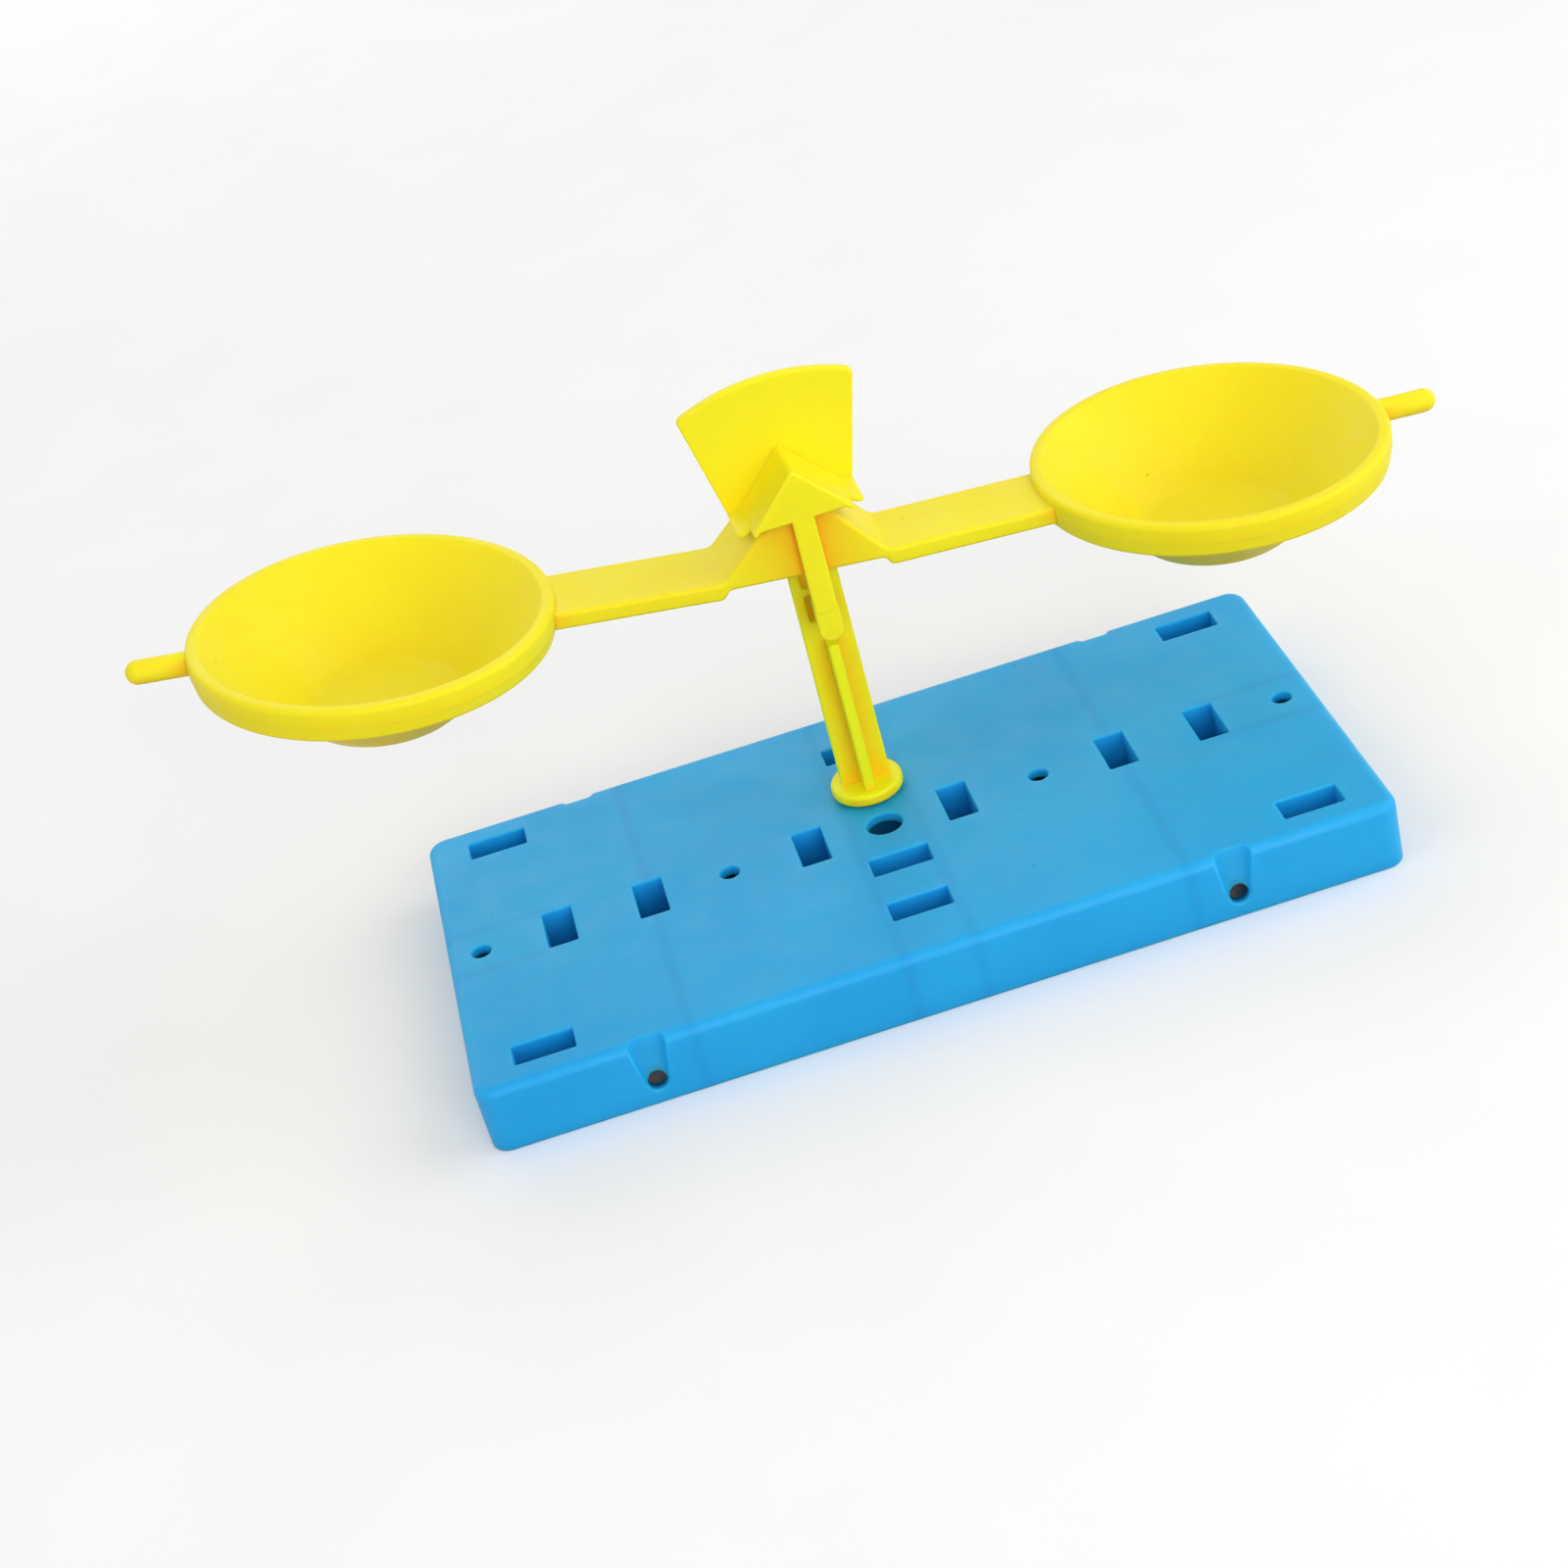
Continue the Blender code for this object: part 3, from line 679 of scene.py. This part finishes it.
def pan_profile():
    """Half section of a pan from the underside's middle to the floor's, with the rim's top at zero."""
    lip = PAN_R - PAN_LIP_WIDTH
    floor = -PAN_INNER_DEPTH
    under = floor - PAN_FLOOR_THICK
    shoulder = -PAN_PART_LINE - PAN_LIP_R
    band = PAN_R - PART_STEP
    corners = [
        (0, under, 0),
        (PAN_FLOOR_R, under, PAN_FLOOR_FILLET),
        (lip - GAP, shoulder, 0),
        (lip, shoulder, 0),
        (lip, -PAN_BAND_HEIGHT, PAN_LIP_R / 2),
        (band - PAN_BAND_TAPER, -PAN_BAND_HEIGHT, PAN_LIP_R),
        (band, -PAN_PART_LINE - PART_STEP, 0),
        (PAN_R, -PAN_PART_LINE, 0),
        (PAN_R, -PAN_PART_LINE + PART_STEP, 0),
        (band, -PAN_PART_LINE + 2 * PART_STEP, 0),
        (PAN_R, -PAN_LIP_R * 2, 0),
        (PAN_R, 0, PAN_LIP_R),
        (lip, 0, PAN_LIP_R / 2),
        (PAN_FLOOR_R, floor, PAN_FLOOR_FILLET),
        (0, floor, 0),
    ]
    return rounded(corners, steps=6, closed=False)


def pan_top_z():
    """Height of a pan's rim above the pivot, at the pan's middle."""
    return crease_z() + (PAN_X - ROOF_HALF) * math.tan(ARM_RISE) + PAN_ABOVE_BAR


def pan_matrix(side):
    """Where a pan sits on the beam: side is -1 for left and 1 for right."""
    place = Matrix.Translation((side * PAN_X, 0, pan_top_z()))
    return place @ Matrix.Rotation(-side * ARM_RISE, 4, "Y")


def peg_profile():
    """Half section of an end peg with a round tip, from its root."""
    start = PAN_R - PAN_JOIN
    tip = PAN_R + PEG_REACH
    ball = arc(0, tip - PEG_R, PEG_R, 0, math.pi / 2, steps=10)
    return [(0, start), (PEG_R, start)] + ball[:-1] + [(0, tip)]


def pan_and_peg(side, word):
    """One pan and its end peg in place about the pivot: side is -1 for left and 1 for right."""
    pan = lathe(f"pan_{word}", pan_profile(), PAN_SEGMENTS)
    pan.data.transform(pan_matrix(side))
    peg = lathe(f"peg_{word}", peg_profile(), PEG_SEGMENTS)
    turn = Matrix.Rotation(side * math.pi / 2, 4, "Y")
    drop = Matrix.Translation((0, 0, -PEG_DROP))
    peg.data.transform(pan_matrix(side) @ drop @ turn)
    return [pan, peg]


def build_beam(material):
    """The beam with both pans about the pivot, then turned to the rest tilt."""
    half = BEAM_WIDTH / 2
    beam = prism("beam_bars", [beam_outline()], -half, half, BEAM_EDGE)
    inside = half - WEB_THICK
    combine(beam, [prism("roof_pocket", [roof_pocket_outline()], -inside, inside)], "DIFFERENCE")
    for side, word in ((-1, "left"), (1, "right")):
        combine(beam, pan_and_peg(side, word), "UNION")
    piece = settled(beam, "balance_beam")
    pivot = Matrix.Translation((0, POST_Y, PIVOT_Z))
    piece.data.transform(pivot @ Matrix.Rotation(REST_TILT, 4, "Y"))
    finish_piece(piece, "beam", "beam", material)


# Dial cap

def saddle_clearance():
    """Height of the saddle's inner ridge above the pivot, which lets the beam tilt fully under it."""
    slope = ROOF_ANGLE - MAX_TILT
    apex_x = roof_apex() * math.sin(MAX_TILT)
    apex_z = roof_apex() * math.cos(MAX_TILT)
    reach = SADDLE_HALF + apex_x
    roof = apex_z - reach * math.tan(slope)
    return roof + SADDLE_HALF * math.tan(SADDLE_ANGLE) + SWING_GAP / math.cos(SADDLE_ANGLE)


def saddle_inner_ridge():
    """Height of the saddle's inner ridge."""
    return PIVOT_Z + saddle_clearance()


def saddle_ridge():
    """Height of the saddle's outer ridge."""
    return saddle_inner_ridge() + SADDLE_THICK / math.cos(SADDLE_ANGLE)


def saddle_line(x):
    """Height of the saddle's outer slope at a distance from the middle."""
    return saddle_ridge() - x * math.tan(SADDLE_ANGLE)


def mirrored(right, crown):
    """A closed outline from its crown corner and the corners of its right half, top to bottom."""
    return [crown] + right + [(-x, z, radius) for x, z, radius in reversed(right)]


def saddle_outline():
    """The saddle seen from the front, filled down to the lower edge of its front wall."""
    slope = math.tan(SADDLE_ANGLE)
    inner_x = SADDLE_HALF - SADDLE_THICK * math.sin(SADDLE_ANGLE)
    inner_z = saddle_line(SADDLE_HALF) - SADDLE_THICK * math.cos(SADDLE_ANGLE)
    low = saddle_line(CAP_WALL_HALF) - SADDLE_SINK
    low_x = (saddle_inner_ridge() - low) / slope
    right = [
        (SADDLE_HALF, saddle_line(SADDLE_HALF), SADDLE_EDGE),
        (inner_x, inner_z, SADDLE_EDGE),
        (low_x, low, 0),
    ]
    return rounded(mirrored(right, (0, saddle_ridge(), RIDGE_R)))


def saddle_pocket_outline():
    """The hollow under the saddle, open below."""
    half = SADDLE_HALF + CUT_PAST
    ridge = saddle_inner_ridge()
    low = ridge - half * math.tan(SADDLE_ANGLE)
    return [(0, ridge), (half, low), (-half, low)]


def eave_line(x):
    """Height of an eave's top, which leaves the slope inside its thickness and runs out flatter."""
    return saddle_line(EAVE_BEND) - EAVE_SINK - (x - EAVE_BEND) * math.tan(EAVE_ANGLE)


def eave_outline(side, half):
    """One eave seen from the front, flaring out of the slope in a soft curve to a half width."""
    root = saddle_line(EAVE_ROOT)
    bend = eave_line(EAVE_BEND)
    tip = eave_line(half)
    corners = [
        (EAVE_ROOT, root - EAVE_ROOT_SINK, 0),
        (EAVE_BEND, bend, CREASE_R),
        (half, tip, SADDLE_EDGE),
        (half, tip - SADDLE_THICK, SADDLE_EDGE),
        (EAVE_BEND, bend - SADDLE_THICK, CREASE_R / 2),
        (EAVE_ROOT, root - SADDLE_THICK, 0),
    ]
    return rounded([(side * x, z, radius) for x, z, radius in corners])


def build_eaves(y0, y1):
    """Both eaves, with their front corner rounded off in plan."""
    bm = bmesh.new()
    turn = edge_levels(EAVE_CORNER_R, steps=6)[::-1]
    levels = [(y0 + drop, EAVE_HALF - inside) for drop, inside in turn] + [(y1, EAVE_HALF)]
    for side in (-1, 1):
        add_loft(bm, [[(x, y, z) for x, z in eave_outline(side, half)] for y, half in levels])
    return mesh_object("cap_eaves", bm)


def tongue_ends():
    """Heights of the tongue's tip and of its top, which lies inside the front wall."""
    return BASE_HEIGHT + TONGUE_TIP, saddle_line(CAP_WALL_HALF) + OVERLAP


def tongue_outline(low, high, trim=0):
    """The tongue between two levels, less a trim on each side, round where it reaches its tip."""
    tip, top = tongue_ends()

    def half(z):
        """Half the width at a height."""
        share = (z - tip) / (top - tip)
        width = TONGUE_TIP_WIDTH + (TONGUE_TOP_WIDTH - TONGUE_TIP_WIDTH) * share
        return width / 2 - trim

    radius = TONGUE_TIP_WIDTH / 2
    if low > tip:
        foot = [(-half(low), low), (half(low), low)]
    else:
        foot = arc(0, tip + radius, radius, math.pi, 2 * math.pi, steps=16)
    return foot + [(half(high), high), (-half(high), high)]


def tongue_parts(front, back):
    """The tongue and its tip, which is a little wider and thinner, so that a step shows."""
    tip, top = tongue_ends()
    step = tip + TONGUE_STEP_UP
    upper = [tongue_outline(step, top, TONGUE_STEP)]
    lower = [tongue_outline(tip, step + 2 * OVERLAP)]
    return [
        prism("cap_tongue", upper, front, back, TONGUE_EDGE),
        prism("cap_tip", lower, front + TONGUE_STEP, back, TONGUE_EDGE),
    ]


def fan_outline():
    """The fan-shaped dial: straight sides, round corners and an arched top."""
    low = eave_line(FAN_FOOT_HALF) - SADDLE_SINK
    side_top = BASE_HEIGHT + FAN_SIDE_TOP
    top = BASE_HEIGHT + FAN_TOP
    rise = top - side_top
    radius = (FAN_TOP_HALF**2 + rise**2) / (2 * rise)
    half_turn = math.asin(FAN_TOP_HALF / radius)
    crown = arc(0, top - radius, radius, math.pi / 2 - half_turn, math.pi / 2 + half_turn, steps=16)
    root = saddle_line(EAVE_BEND) - SADDLE_SINK
    right = [(EAVE_BEND, root, 0), (FAN_FOOT_HALF, low, 2 * FAN_EDGE)]
    arch = [(x, z, 0) for x, z in crown[1:-1]]
    shoulders = [(x, z, FAN_CORNER_R) for x, z in (crown[0], crown[-1])]
    left = [(-x, z, corner) for x, z, corner in reversed(right)]
    foot = [(0, saddle_ridge() - SADDLE_SINK, 0)]
    return rounded(foot + right + shoulders[:1] + arch + shoulders[1:] + left)


def build_cap(material):
    """The dial cap. Its wall hangs just in front of the beam, and its clip reaches into the post."""
    back = POST_Y - BEAM_WIDTH / 2 - SWING_GAP
    front = back - CAP_WALL
    fan_front = front + SADDLE_LENGTH
    fan_back = fan_front + FAN_THICK
    cap = prism("cap_saddle", [saddle_outline()], front, fan_back, CAP_EDGE)
    pocket = prism("cap_pocket", [saddle_pocket_outline()], back, fan_back + CUT_PAST)
    combine(cap, [pocket], "DIFFERENCE")
    low, high = clip_levels()
    clip = [rectangle(0, (low + high) / 2, CLIP_WIDTH, high - low)]
    parts = [
        build_eaves(fan_back - EAVE_RUN, fan_back - OVERLAP),
        prism("cap_fan", [fan_outline()], fan_front, fan_back, FAN_EDGE),
        *tongue_parts(front, back),
        prism("cap_clip", clip, back - OVERLAP, window_floor() - GAP),
    ]
    combine(cap, parts, "UNION")
    piece = settled(cap, "dial_cap_shell")
    finish_piece(piece, "stand", "dial_cap", material)


# Materials

# Uneven tone, and a finer mottle over it
TONE_SCALE = 42.0
TONE_STOPS = (0.34, 0.66)
MOTTLE_SCALE = 650.0
MOTTLE_SHARE = 0.25
MOTTLE_TINT = (0.95, 0.95, 0.93)
TONE_DETAIL = 3.0

# Marks
SPECK_R = 0.0002
SPECK_TINT = (0.25, 0.22, 0.2)
SCUFF_R = 0.00012
SCUFF_TINT = (0.8, 0.85, 0.9)
SCUFF_TURN = (0.3, 0.5, 0.7)
SCUFF_STRETCH = (1.0, 0.12, 1.0)
SCUFF_ROUGH = 0.7

# Surface. A bump is a noise scale, a strength and a height.
GLOSS_SCALE = 160.0
GLOSS_ROUGH = (0.42, 0.54)
CORNER_BLUR = 0.0005
CORNER_SAMPLES = 4
SINK_BUMP = (90.0, 0.2, 0.0002)
SKIN_BUMP = (2400.0, 0.1, 0.00003)
PLASTIC_IOR = 1.5
LIGHT_LET_IN = 0.7

# Painted shade: inner corners, gaps, undersides, and lines over the ribs under the tray's top
CREVICE_REACH = 0.006
CREVICE_SAMPLES = 6
CREVICE_FADE = (0.5, 1.0)
PAINTED_UNDERSIDE_SHARE = 0.55
UNDERSIDE_FADE = (-0.8, -0.2)
UPRIGHT_FADE = (0.5, 0.9)
RIB_BLUR = 1.2 * RIB_THICK

# Yellow drifts by these shares of red and green over one moulding
RED_DRIFT = 0.012
GREEN_DRIFT = 0.02

# The shade mask with its tint, and the corner tint, paint shade into the colour.
Finish = namedtuple("Finish", "deep pale depth crevice shine speck_cell shade shade_tint")


def add_node(tree, kind, **values):
    """A shader node with some of its inputs set."""
    made = tree.nodes.new(kind)
    for key, value in values.items():
        made.inputs[key.replace("_", " ")].default_value = value
    return made


def calculate(tree, operation, first, second=None):
    """A Math node over a socket and a second socket or number."""
    made = tree.nodes.new("ShaderNodeMath")
    made.operation = operation
    tree.links.new(first, made.inputs[0])
    if isinstance(second, (int, float)):
        made.inputs[1].default_value = second
    elif second:
        tree.links.new(second, made.inputs[1])
    return made.outputs["Value"]


def ramp(tree, factor, stops):
    """A colour ramp over (position, colour) stops."""
    made = tree.nodes.new("ShaderNodeValToRGB")
    points = made.color_ramp.elements
    while len(points) < len(stops):
        points.new(0.5)
    for point, (position, colour) in zip(points, stops):
        point.position = position
        point.color = (*colour, 1)
    tree.links.new(factor, made.inputs["Fac"])
    return made.outputs["Color"]


def noise(tree, where, scale, detail=2.0):
    """Soft noise from 0 to 1."""
    made = add_node(tree, "ShaderNodeTexNoise", Scale=scale, Detail=detail)
    tree.links.new(where, made.inputs["Vector"])
    return made.outputs["Fac"]


def spread(tree, value, low, high, start=0.3, end=0.7):
    """A value carried smoothly from one range to another."""
    made = add_node(tree, "ShaderNodeMapRange", To_Min=low, To_Max=high)
    made.interpolation_type = "SMOOTHSTEP"
    made.inputs["From Min"].default_value = start
    made.inputs["From Max"].default_value = end
    tree.links.new(value, made.inputs["Value"])
    return made.outputs["Result"]


def tinted(tree, colour, factor, tint):
    """A colour multiplied by a tint where the factor says."""
    mix = tree.nodes.new("ShaderNodeMix")
    mix.data_type = "RGBA"
    mix.blend_type = "MULTIPLY"
    mix.inputs["B"].default_value = (*tint, 1)
    tree.links.new(factor, mix.inputs["Factor"])
    tree.links.new(colour, mix.inputs["A"])
    return mix.outputs["Result"]


def stretched(tree, where, turn, scale):
    """Coordinates turned and scaled, for marks that run one way."""
    made = add_node(tree, "ShaderNodeMapping", Rotation=turn, Scale=scale)
    tree.links.new(where, made.inputs["Vector"])
    return made.outputs["Vector"]


def specks(tree, where, cell, radius):
    """A mask of small round specks, about one in every cell of that size."""
    made = add_node(tree, "ShaderNodeTexVoronoi", Scale=1 / cell)
    tree.links.new(where, made.inputs["Vector"])
    return spread(tree, made.outputs["Distance"], 1.0, 0.0, 0.5 * radius / cell, radius / cell)


def bumped(tree, where, normal, scale, strength, height):
    """A normal disturbed by noise of a scale."""
    made = add_node(tree, "ShaderNodeBump", Strength=strength, Distance=height)
    tree.links.new(noise(tree, where, scale), made.inputs["Height"])
    tree.links.new(normal, made.inputs["Normal"])
    return made.outputs["Normal"]


def surface_normal(tree, where):
    """Soft inner corners, a slight sink of the moulding and a fine skin."""
    corner = add_node(tree, "ShaderNodeBevel", Radius=CORNER_BLUR)
    corner.samples = CORNER_SAMPLES
    sunk = bumped(tree, where, corner.outputs["Normal"], *SINK_BUMP)
    return bumped(tree, where, sunk, *SKIN_BUMP)


def along_axis(tree, vector, axis):
    """One coordinate of a vector."""
    split = tree.nodes.new("ShaderNodeSeparateXYZ")
    tree.links.new(vector, split.inputs["Vector"])
    return split.outputs[axis]


def rib_line(tree, distance, centre):
    """A soft line where a distance is near a rib's middle."""
    off = calculate(tree, "ABSOLUTE", calculate(tree, "SUBTRACT", distance, centre))
    return spread(tree, off, 1.0, 0.0, 0.0, RIB_BLUR)


def painted_rib_shade(tree, where):
    """Painted shade lines on the tray's top over the ribs and socket walls under it."""
    from_row = calculate(tree, "SUBTRACT", along_axis(tree, where, "Y"), BASE_Y)
    across = calculate(tree, "ABSOLUTE", along_axis(tree, where, "X"))
    along = calculate(tree, "ABSOLUTE", from_row)
    at_ends = calculate(tree, "GREATER_THAN", across, ROW_SLOT_X[2])
    end_lines = calculate(tree, "MULTIPLY", rib_line(tree, along, SOCKET_RIB), at_ends)
    outer_lines = rib_line(tree, across, ROW_SLOT_X[1])
    cross_lines = calculate(tree, "MAXIMUM", outer_lines, rib_line(tree, across, SOCKET_RIB))
    return calculate(tree, "MAXIMUM", end_lines, cross_lines)


def facing(tree, axis):
    """How far a face looks along an axis, from -1 to 1."""
    return along_axis(tree, tree.nodes.new("ShaderNodeNewGeometry").outputs["Normal"], axis)


def upright(tree):
    """A mask of the faces that look forwards or backwards."""
    return spread(tree, calculate(tree, "ABSOLUTE", facing(tree, "Y")), 0.0, 1.0, *UPRIGHT_FADE)


def painted_web_shade(tree, where):
    """Painted warm shade on the upright sides of the beam's roof, strongest at the middle and gone at
    the roof's ends.
    """
    across = calculate(tree, "ABSOLUTE", along_axis(tree, where, "X"))
    near = spread(tree, across, 1.0, 0.0, 0.0, ROOF_HALF)
    return calculate(tree, "MULTIPLY", near, upright(tree))


def painted_crevice_shade(tree):
    """A mask for painted shade: inner corners and narrow gaps found by occlusion, and faces that look
    down.
    """
    made = add_node(tree, "ShaderNodeAmbientOcclusion", Distance=CREVICE_REACH)
    made.samples = CREVICE_SAMPLES
    closed = spread(tree, made.outputs["AO"], 1.0, 0.0, *CREVICE_FADE)
    gaps = calculate(tree, "MULTIPLY", closed, upright(tree))
    under = spread(tree, facing(tree, "Z"), PAINTED_UNDERSIDE_SHARE, 0.0, *UNDERSIDE_FADE)
    return calculate(tree, "MAXIMUM", gaps, under)


def plastic_colour(tree, where, finish, scuffs):
    """Uneven mottled tone, with painted shade from a mask of the piece and in inner corners and
    undersides, and specks and scuffs.
    """
    tone = noise(tree, where, TONE_SCALE, TONE_DETAIL)
    colour = ramp(tree, tone, list(zip(TONE_STOPS, (finish.deep, finish.pale))))
    mottle = spread(tree, noise(tree, where, MOTTLE_SCALE, TONE_DETAIL), 0.0, MOTTLE_SHARE)
    colour = tinted(tree, colour, mottle, MOTTLE_TINT)
    # Painted shade from the piece's own mask: lines over the tray's ribs, or the beam's roof sides.
    if finish.shade:
        colour = tinted(tree, colour, finish.shade(tree, where), finish.shade_tint)
    # Painted shade: inner corners, gaps and undersides take the finish's darker, warmer tint.
    colour = tinted(tree, colour, painted_crevice_shade(tree), finish.crevice)
    colour = tinted(tree, colour, specks(tree, where, finish.speck_cell, SPECK_R), SPECK_TINT)
    return tinted(tree, colour, scuffs, SCUFF_TINT)


def plastic_roughness(tree, where, scuffs):
    """Soft uneven gloss, dull on the scuffs."""
    gloss = spread(tree, noise(tree, where, GLOSS_SCALE), *GLOSS_ROUGH)
    return calculate(tree, "MAXIMUM", gloss, calculate(tree, "MULTIPLY", scuffs, SCUFF_ROUGH))


def plastic(name, finish):
    """Waxy moulded plastic: uneven tone with painted shade, soft uneven gloss, specks, scuffs and light
    let in.
    """
    material = bpy.data.materials.new(name)
    material.use_nodes = True
    tree = material.node_tree
    inputs = tree.nodes["Principled BSDF"].inputs
    where = tree.nodes.new("ShaderNodeTexCoord").outputs["Object"]
    streaks = stretched(tree, where, SCUFF_TURN, SCUFF_STRETCH)
    scuffs = specks(tree, streaks, finish.speck_cell, SCUFF_R)
    tree.links.new(plastic_colour(tree, where, finish, scuffs), inputs["Base Color"])
    tree.links.new(plastic_roughness(tree, where, scuffs), inputs["Roughness"])
    tree.links.new(surface_normal(tree, where), inputs["Normal"])
    inputs["IOR"].default_value = PLASTIC_IOR
    inputs["Specular IOR Level"].default_value = finish.shine
    inputs["Subsurface Weight"].default_value = LIGHT_LET_IN
    inputs["Subsurface Radius"].default_value = finish.depth
    inputs["Subsurface Scale"].default_value = 1.0
    return material


def yellow_plastic(name, red, green, painted_crevice_green, shade=None):
    """Yellow with shares of red and green that differ a little from moulding to moulding."""
    finish = Finish(
        deep=(red - RED_DRIFT, green - GREEN_DRIFT, 0.008),
        pale=(red + RED_DRIFT, green + GREEN_DRIFT, 0.012),
        depth=(0.0007, 0.0010, 0.0003),
        # Painted shade tint for inner corners, gaps and undersides: orange.
        crevice=(1.0, painted_crevice_green, painted_crevice_green / 2),
        shine=0.2,
        speck_cell=0.011,
        shade=shade,
        # Painted warm shade tint, where the piece has a shade mask.
        shade_tint=(1.0, 0.84, 0.5),
    )
    return plastic(name, finish)


def blue_plastic(name):
    """Blue with painted shade lines over the ribs under the tray's top."""
    finish = Finish(
        deep=(0.010, 0.385, 0.81),
        pale=(0.014, 0.425, 0.86),
        depth=(0.0008, 0.0032, 0.0040),
        # Painted shade tint for inner corners, gaps and undersides: darker blue.
        crevice=(0.75, 0.92, 0.97),
        shine=0.28,
        speck_cell=0.007,
        # Painted shade lines over the ribs and socket walls under the top, in a darker, cooler tint.
        shade=painted_rib_shade,
        shade_tint=(0.88, 0.91, 0.94),
    )
    return plastic(name, finish)


# Floor, light and camera

WHITE = (1, 1, 1, 1)
FLOOR_R = 3.0
FLOOR_FADE = (0.35, 1.3)
FLOOR_BOUNCE = (0.42, 0.42, 0.42)
FLOOR_SCALE = 30.0
FLOOR_STOPS = ((0.3, (0.96, 0.96, 0.96)), (0.7, (0.98, 0.98, 0.98)))
FLOOR_ROUGH = 0.8
AMBIENT = 0.52
LAMP_AIM = (0, 0, 0.05)

# Name, place, size and power of each lamp
LAMPS = (
    ("key", (0.70, -0.10, 0.45), 0.7, 2.6),
    ("fill", (-0.90, -0.30, 0.60), 0.8, 1.6),
    ("back", (-0.15, 0.95, 0.70), 1.0, 3.2),
    ("front", (0.15, -1.02, 0.40), 0.8, 5.5),
)

# The camera's turn is in degrees, its lens and sensor in millimetres
CAMERA_PLACE = (-0.03684, -0.38803, 0.27268)
CAMERA_TURN = (56.419, 13.218, -11.988)
CAMERA_LENS = 65.18
CAMERA_SENSOR = 36
CAMERA_NEAR = 0.01


def seen_as_background(tree):
    """1 for rays that show the background: straight to the camera, in a gloss or through glass."""
    rays = tree.nodes.new("ShaderNodeLightPath").outputs
    indirect = calculate(tree, "MAXIMUM", rays["Is Glossy Ray"], rays["Is Transmission Ray"])
    return calculate(tree, "MAXIMUM", rays["Is Camera Ray"], indirect)


def floor_material():
    """Pale paper that throws back less light than it shows and runs out into the white background."""
    material = bpy.data.materials.new("floor_paper")
    material.use_nodes = True
    tree = material.node_tree
    inputs = tree.nodes["Principled BSDF"].inputs
    where = tree.nodes.new("ShaderNodeTexCoord").outputs["Object"]
    tone = ramp(tree, noise(tree, where, FLOOR_SCALE), FLOOR_STOPS)
    seen = seen_as_background(tree)
    unseen = spread(tree, seen, 1.0, 0.0, 0.0, 1.0)
    reach = tree.nodes.new("ShaderNodeVectorMath")
    reach.operation = "LENGTH"
    tree.links.new(where, reach.inputs["Vector"])
    fade = spread(tree, reach.outputs["Value"], 0.0, 1.0, *FLOOR_FADE)
    far = calculate(tree, "MULTIPLY", seen, fade)
    tone = tinted(tree, tone, unseen, FLOOR_BOUNCE)
    tree.links.new(tinted(tree, tone, far, (0, 0, 0)), inputs["Base Color"])
    tree.links.new(far, inputs["Emission Strength"])
    inputs["Emission Color"].default_value = WHITE
    inputs["Roughness"].default_value = FLOOR_ROUGH
    return material


def build_floor():
    """A round floor under the part."""
    bm = bmesh.new()
    bm.faces.new([bm.verts.new((x, y, 0)) for x, y in circle(0, 0, FLOOR_R)])
    floor = mesh_object("floor", bm)
    floor.data.materials.append(floor_material())


def area_lamp(name, place, size, power):
    """A square soft box turned to the part."""
    lamp = bpy.data.lights.new(name, "AREA")
    lamp.size = size
    lamp.energy = power
    obj = bpy.data.objects.new(name, lamp)
    obj.location = place
    obj.rotation_euler = (Vector(LAMP_AIM) - Vector(place)).to_track_quat("-Z", "Y").to_euler()
    bpy.context.scene.collection.objects.link(obj)


def build_light():
    """A white background that lights less than it shows, and the lamps."""
    world = bpy.data.worlds.new("studio")
    bpy.context.scene.world = world
    world.use_nodes = True
    tree = world.node_tree
    inputs = tree.nodes["Background"].inputs
    inputs["Color"].default_value = WHITE
    level = spread(tree, seen_as_background(tree), AMBIENT, 1.0, 0.0, 1.0)
    tree.links.new(level, inputs["Strength"])
    for lamp in LAMPS:
        area_lamp(*lamp)


def build_camera():
    """The photograph's point of view."""
    camera = bpy.data.cameras.new("camera")
    camera.lens = CAMERA_LENS
    camera.sensor_width = CAMERA_SENSOR
    camera.clip_start = CAMERA_NEAR
    obj = bpy.data.objects.new("camera", camera)
    obj.location = CAMERA_PLACE
    obj.rotation_euler = [math.radians(angle) for angle in CAMERA_TURN]
    bpy.context.scene.collection.objects.link(obj)
    bpy.context.scene.camera = obj


def main():
    """The four pieces, then the floor, light and camera."""
    build_base(blue_plastic("tray_plastic"))
    build_post(yellow_plastic("post_plastic", red=0.985, green=0.91, painted_crevice_green=0.64))
    # The beam's roof sides get painted warm shade.
    build_beam(yellow_plastic("beam_plastic", red=0.93, green=0.78, painted_crevice_green=0.6, shade=painted_web_shade))
    build_cap(yellow_plastic("cap_plastic", red=0.98, green=0.83, painted_crevice_green=0.96))
    build_floor()
    build_light()
    build_camera()
    bpy.context.scene.view_settings.view_transform = "Standard"


main()
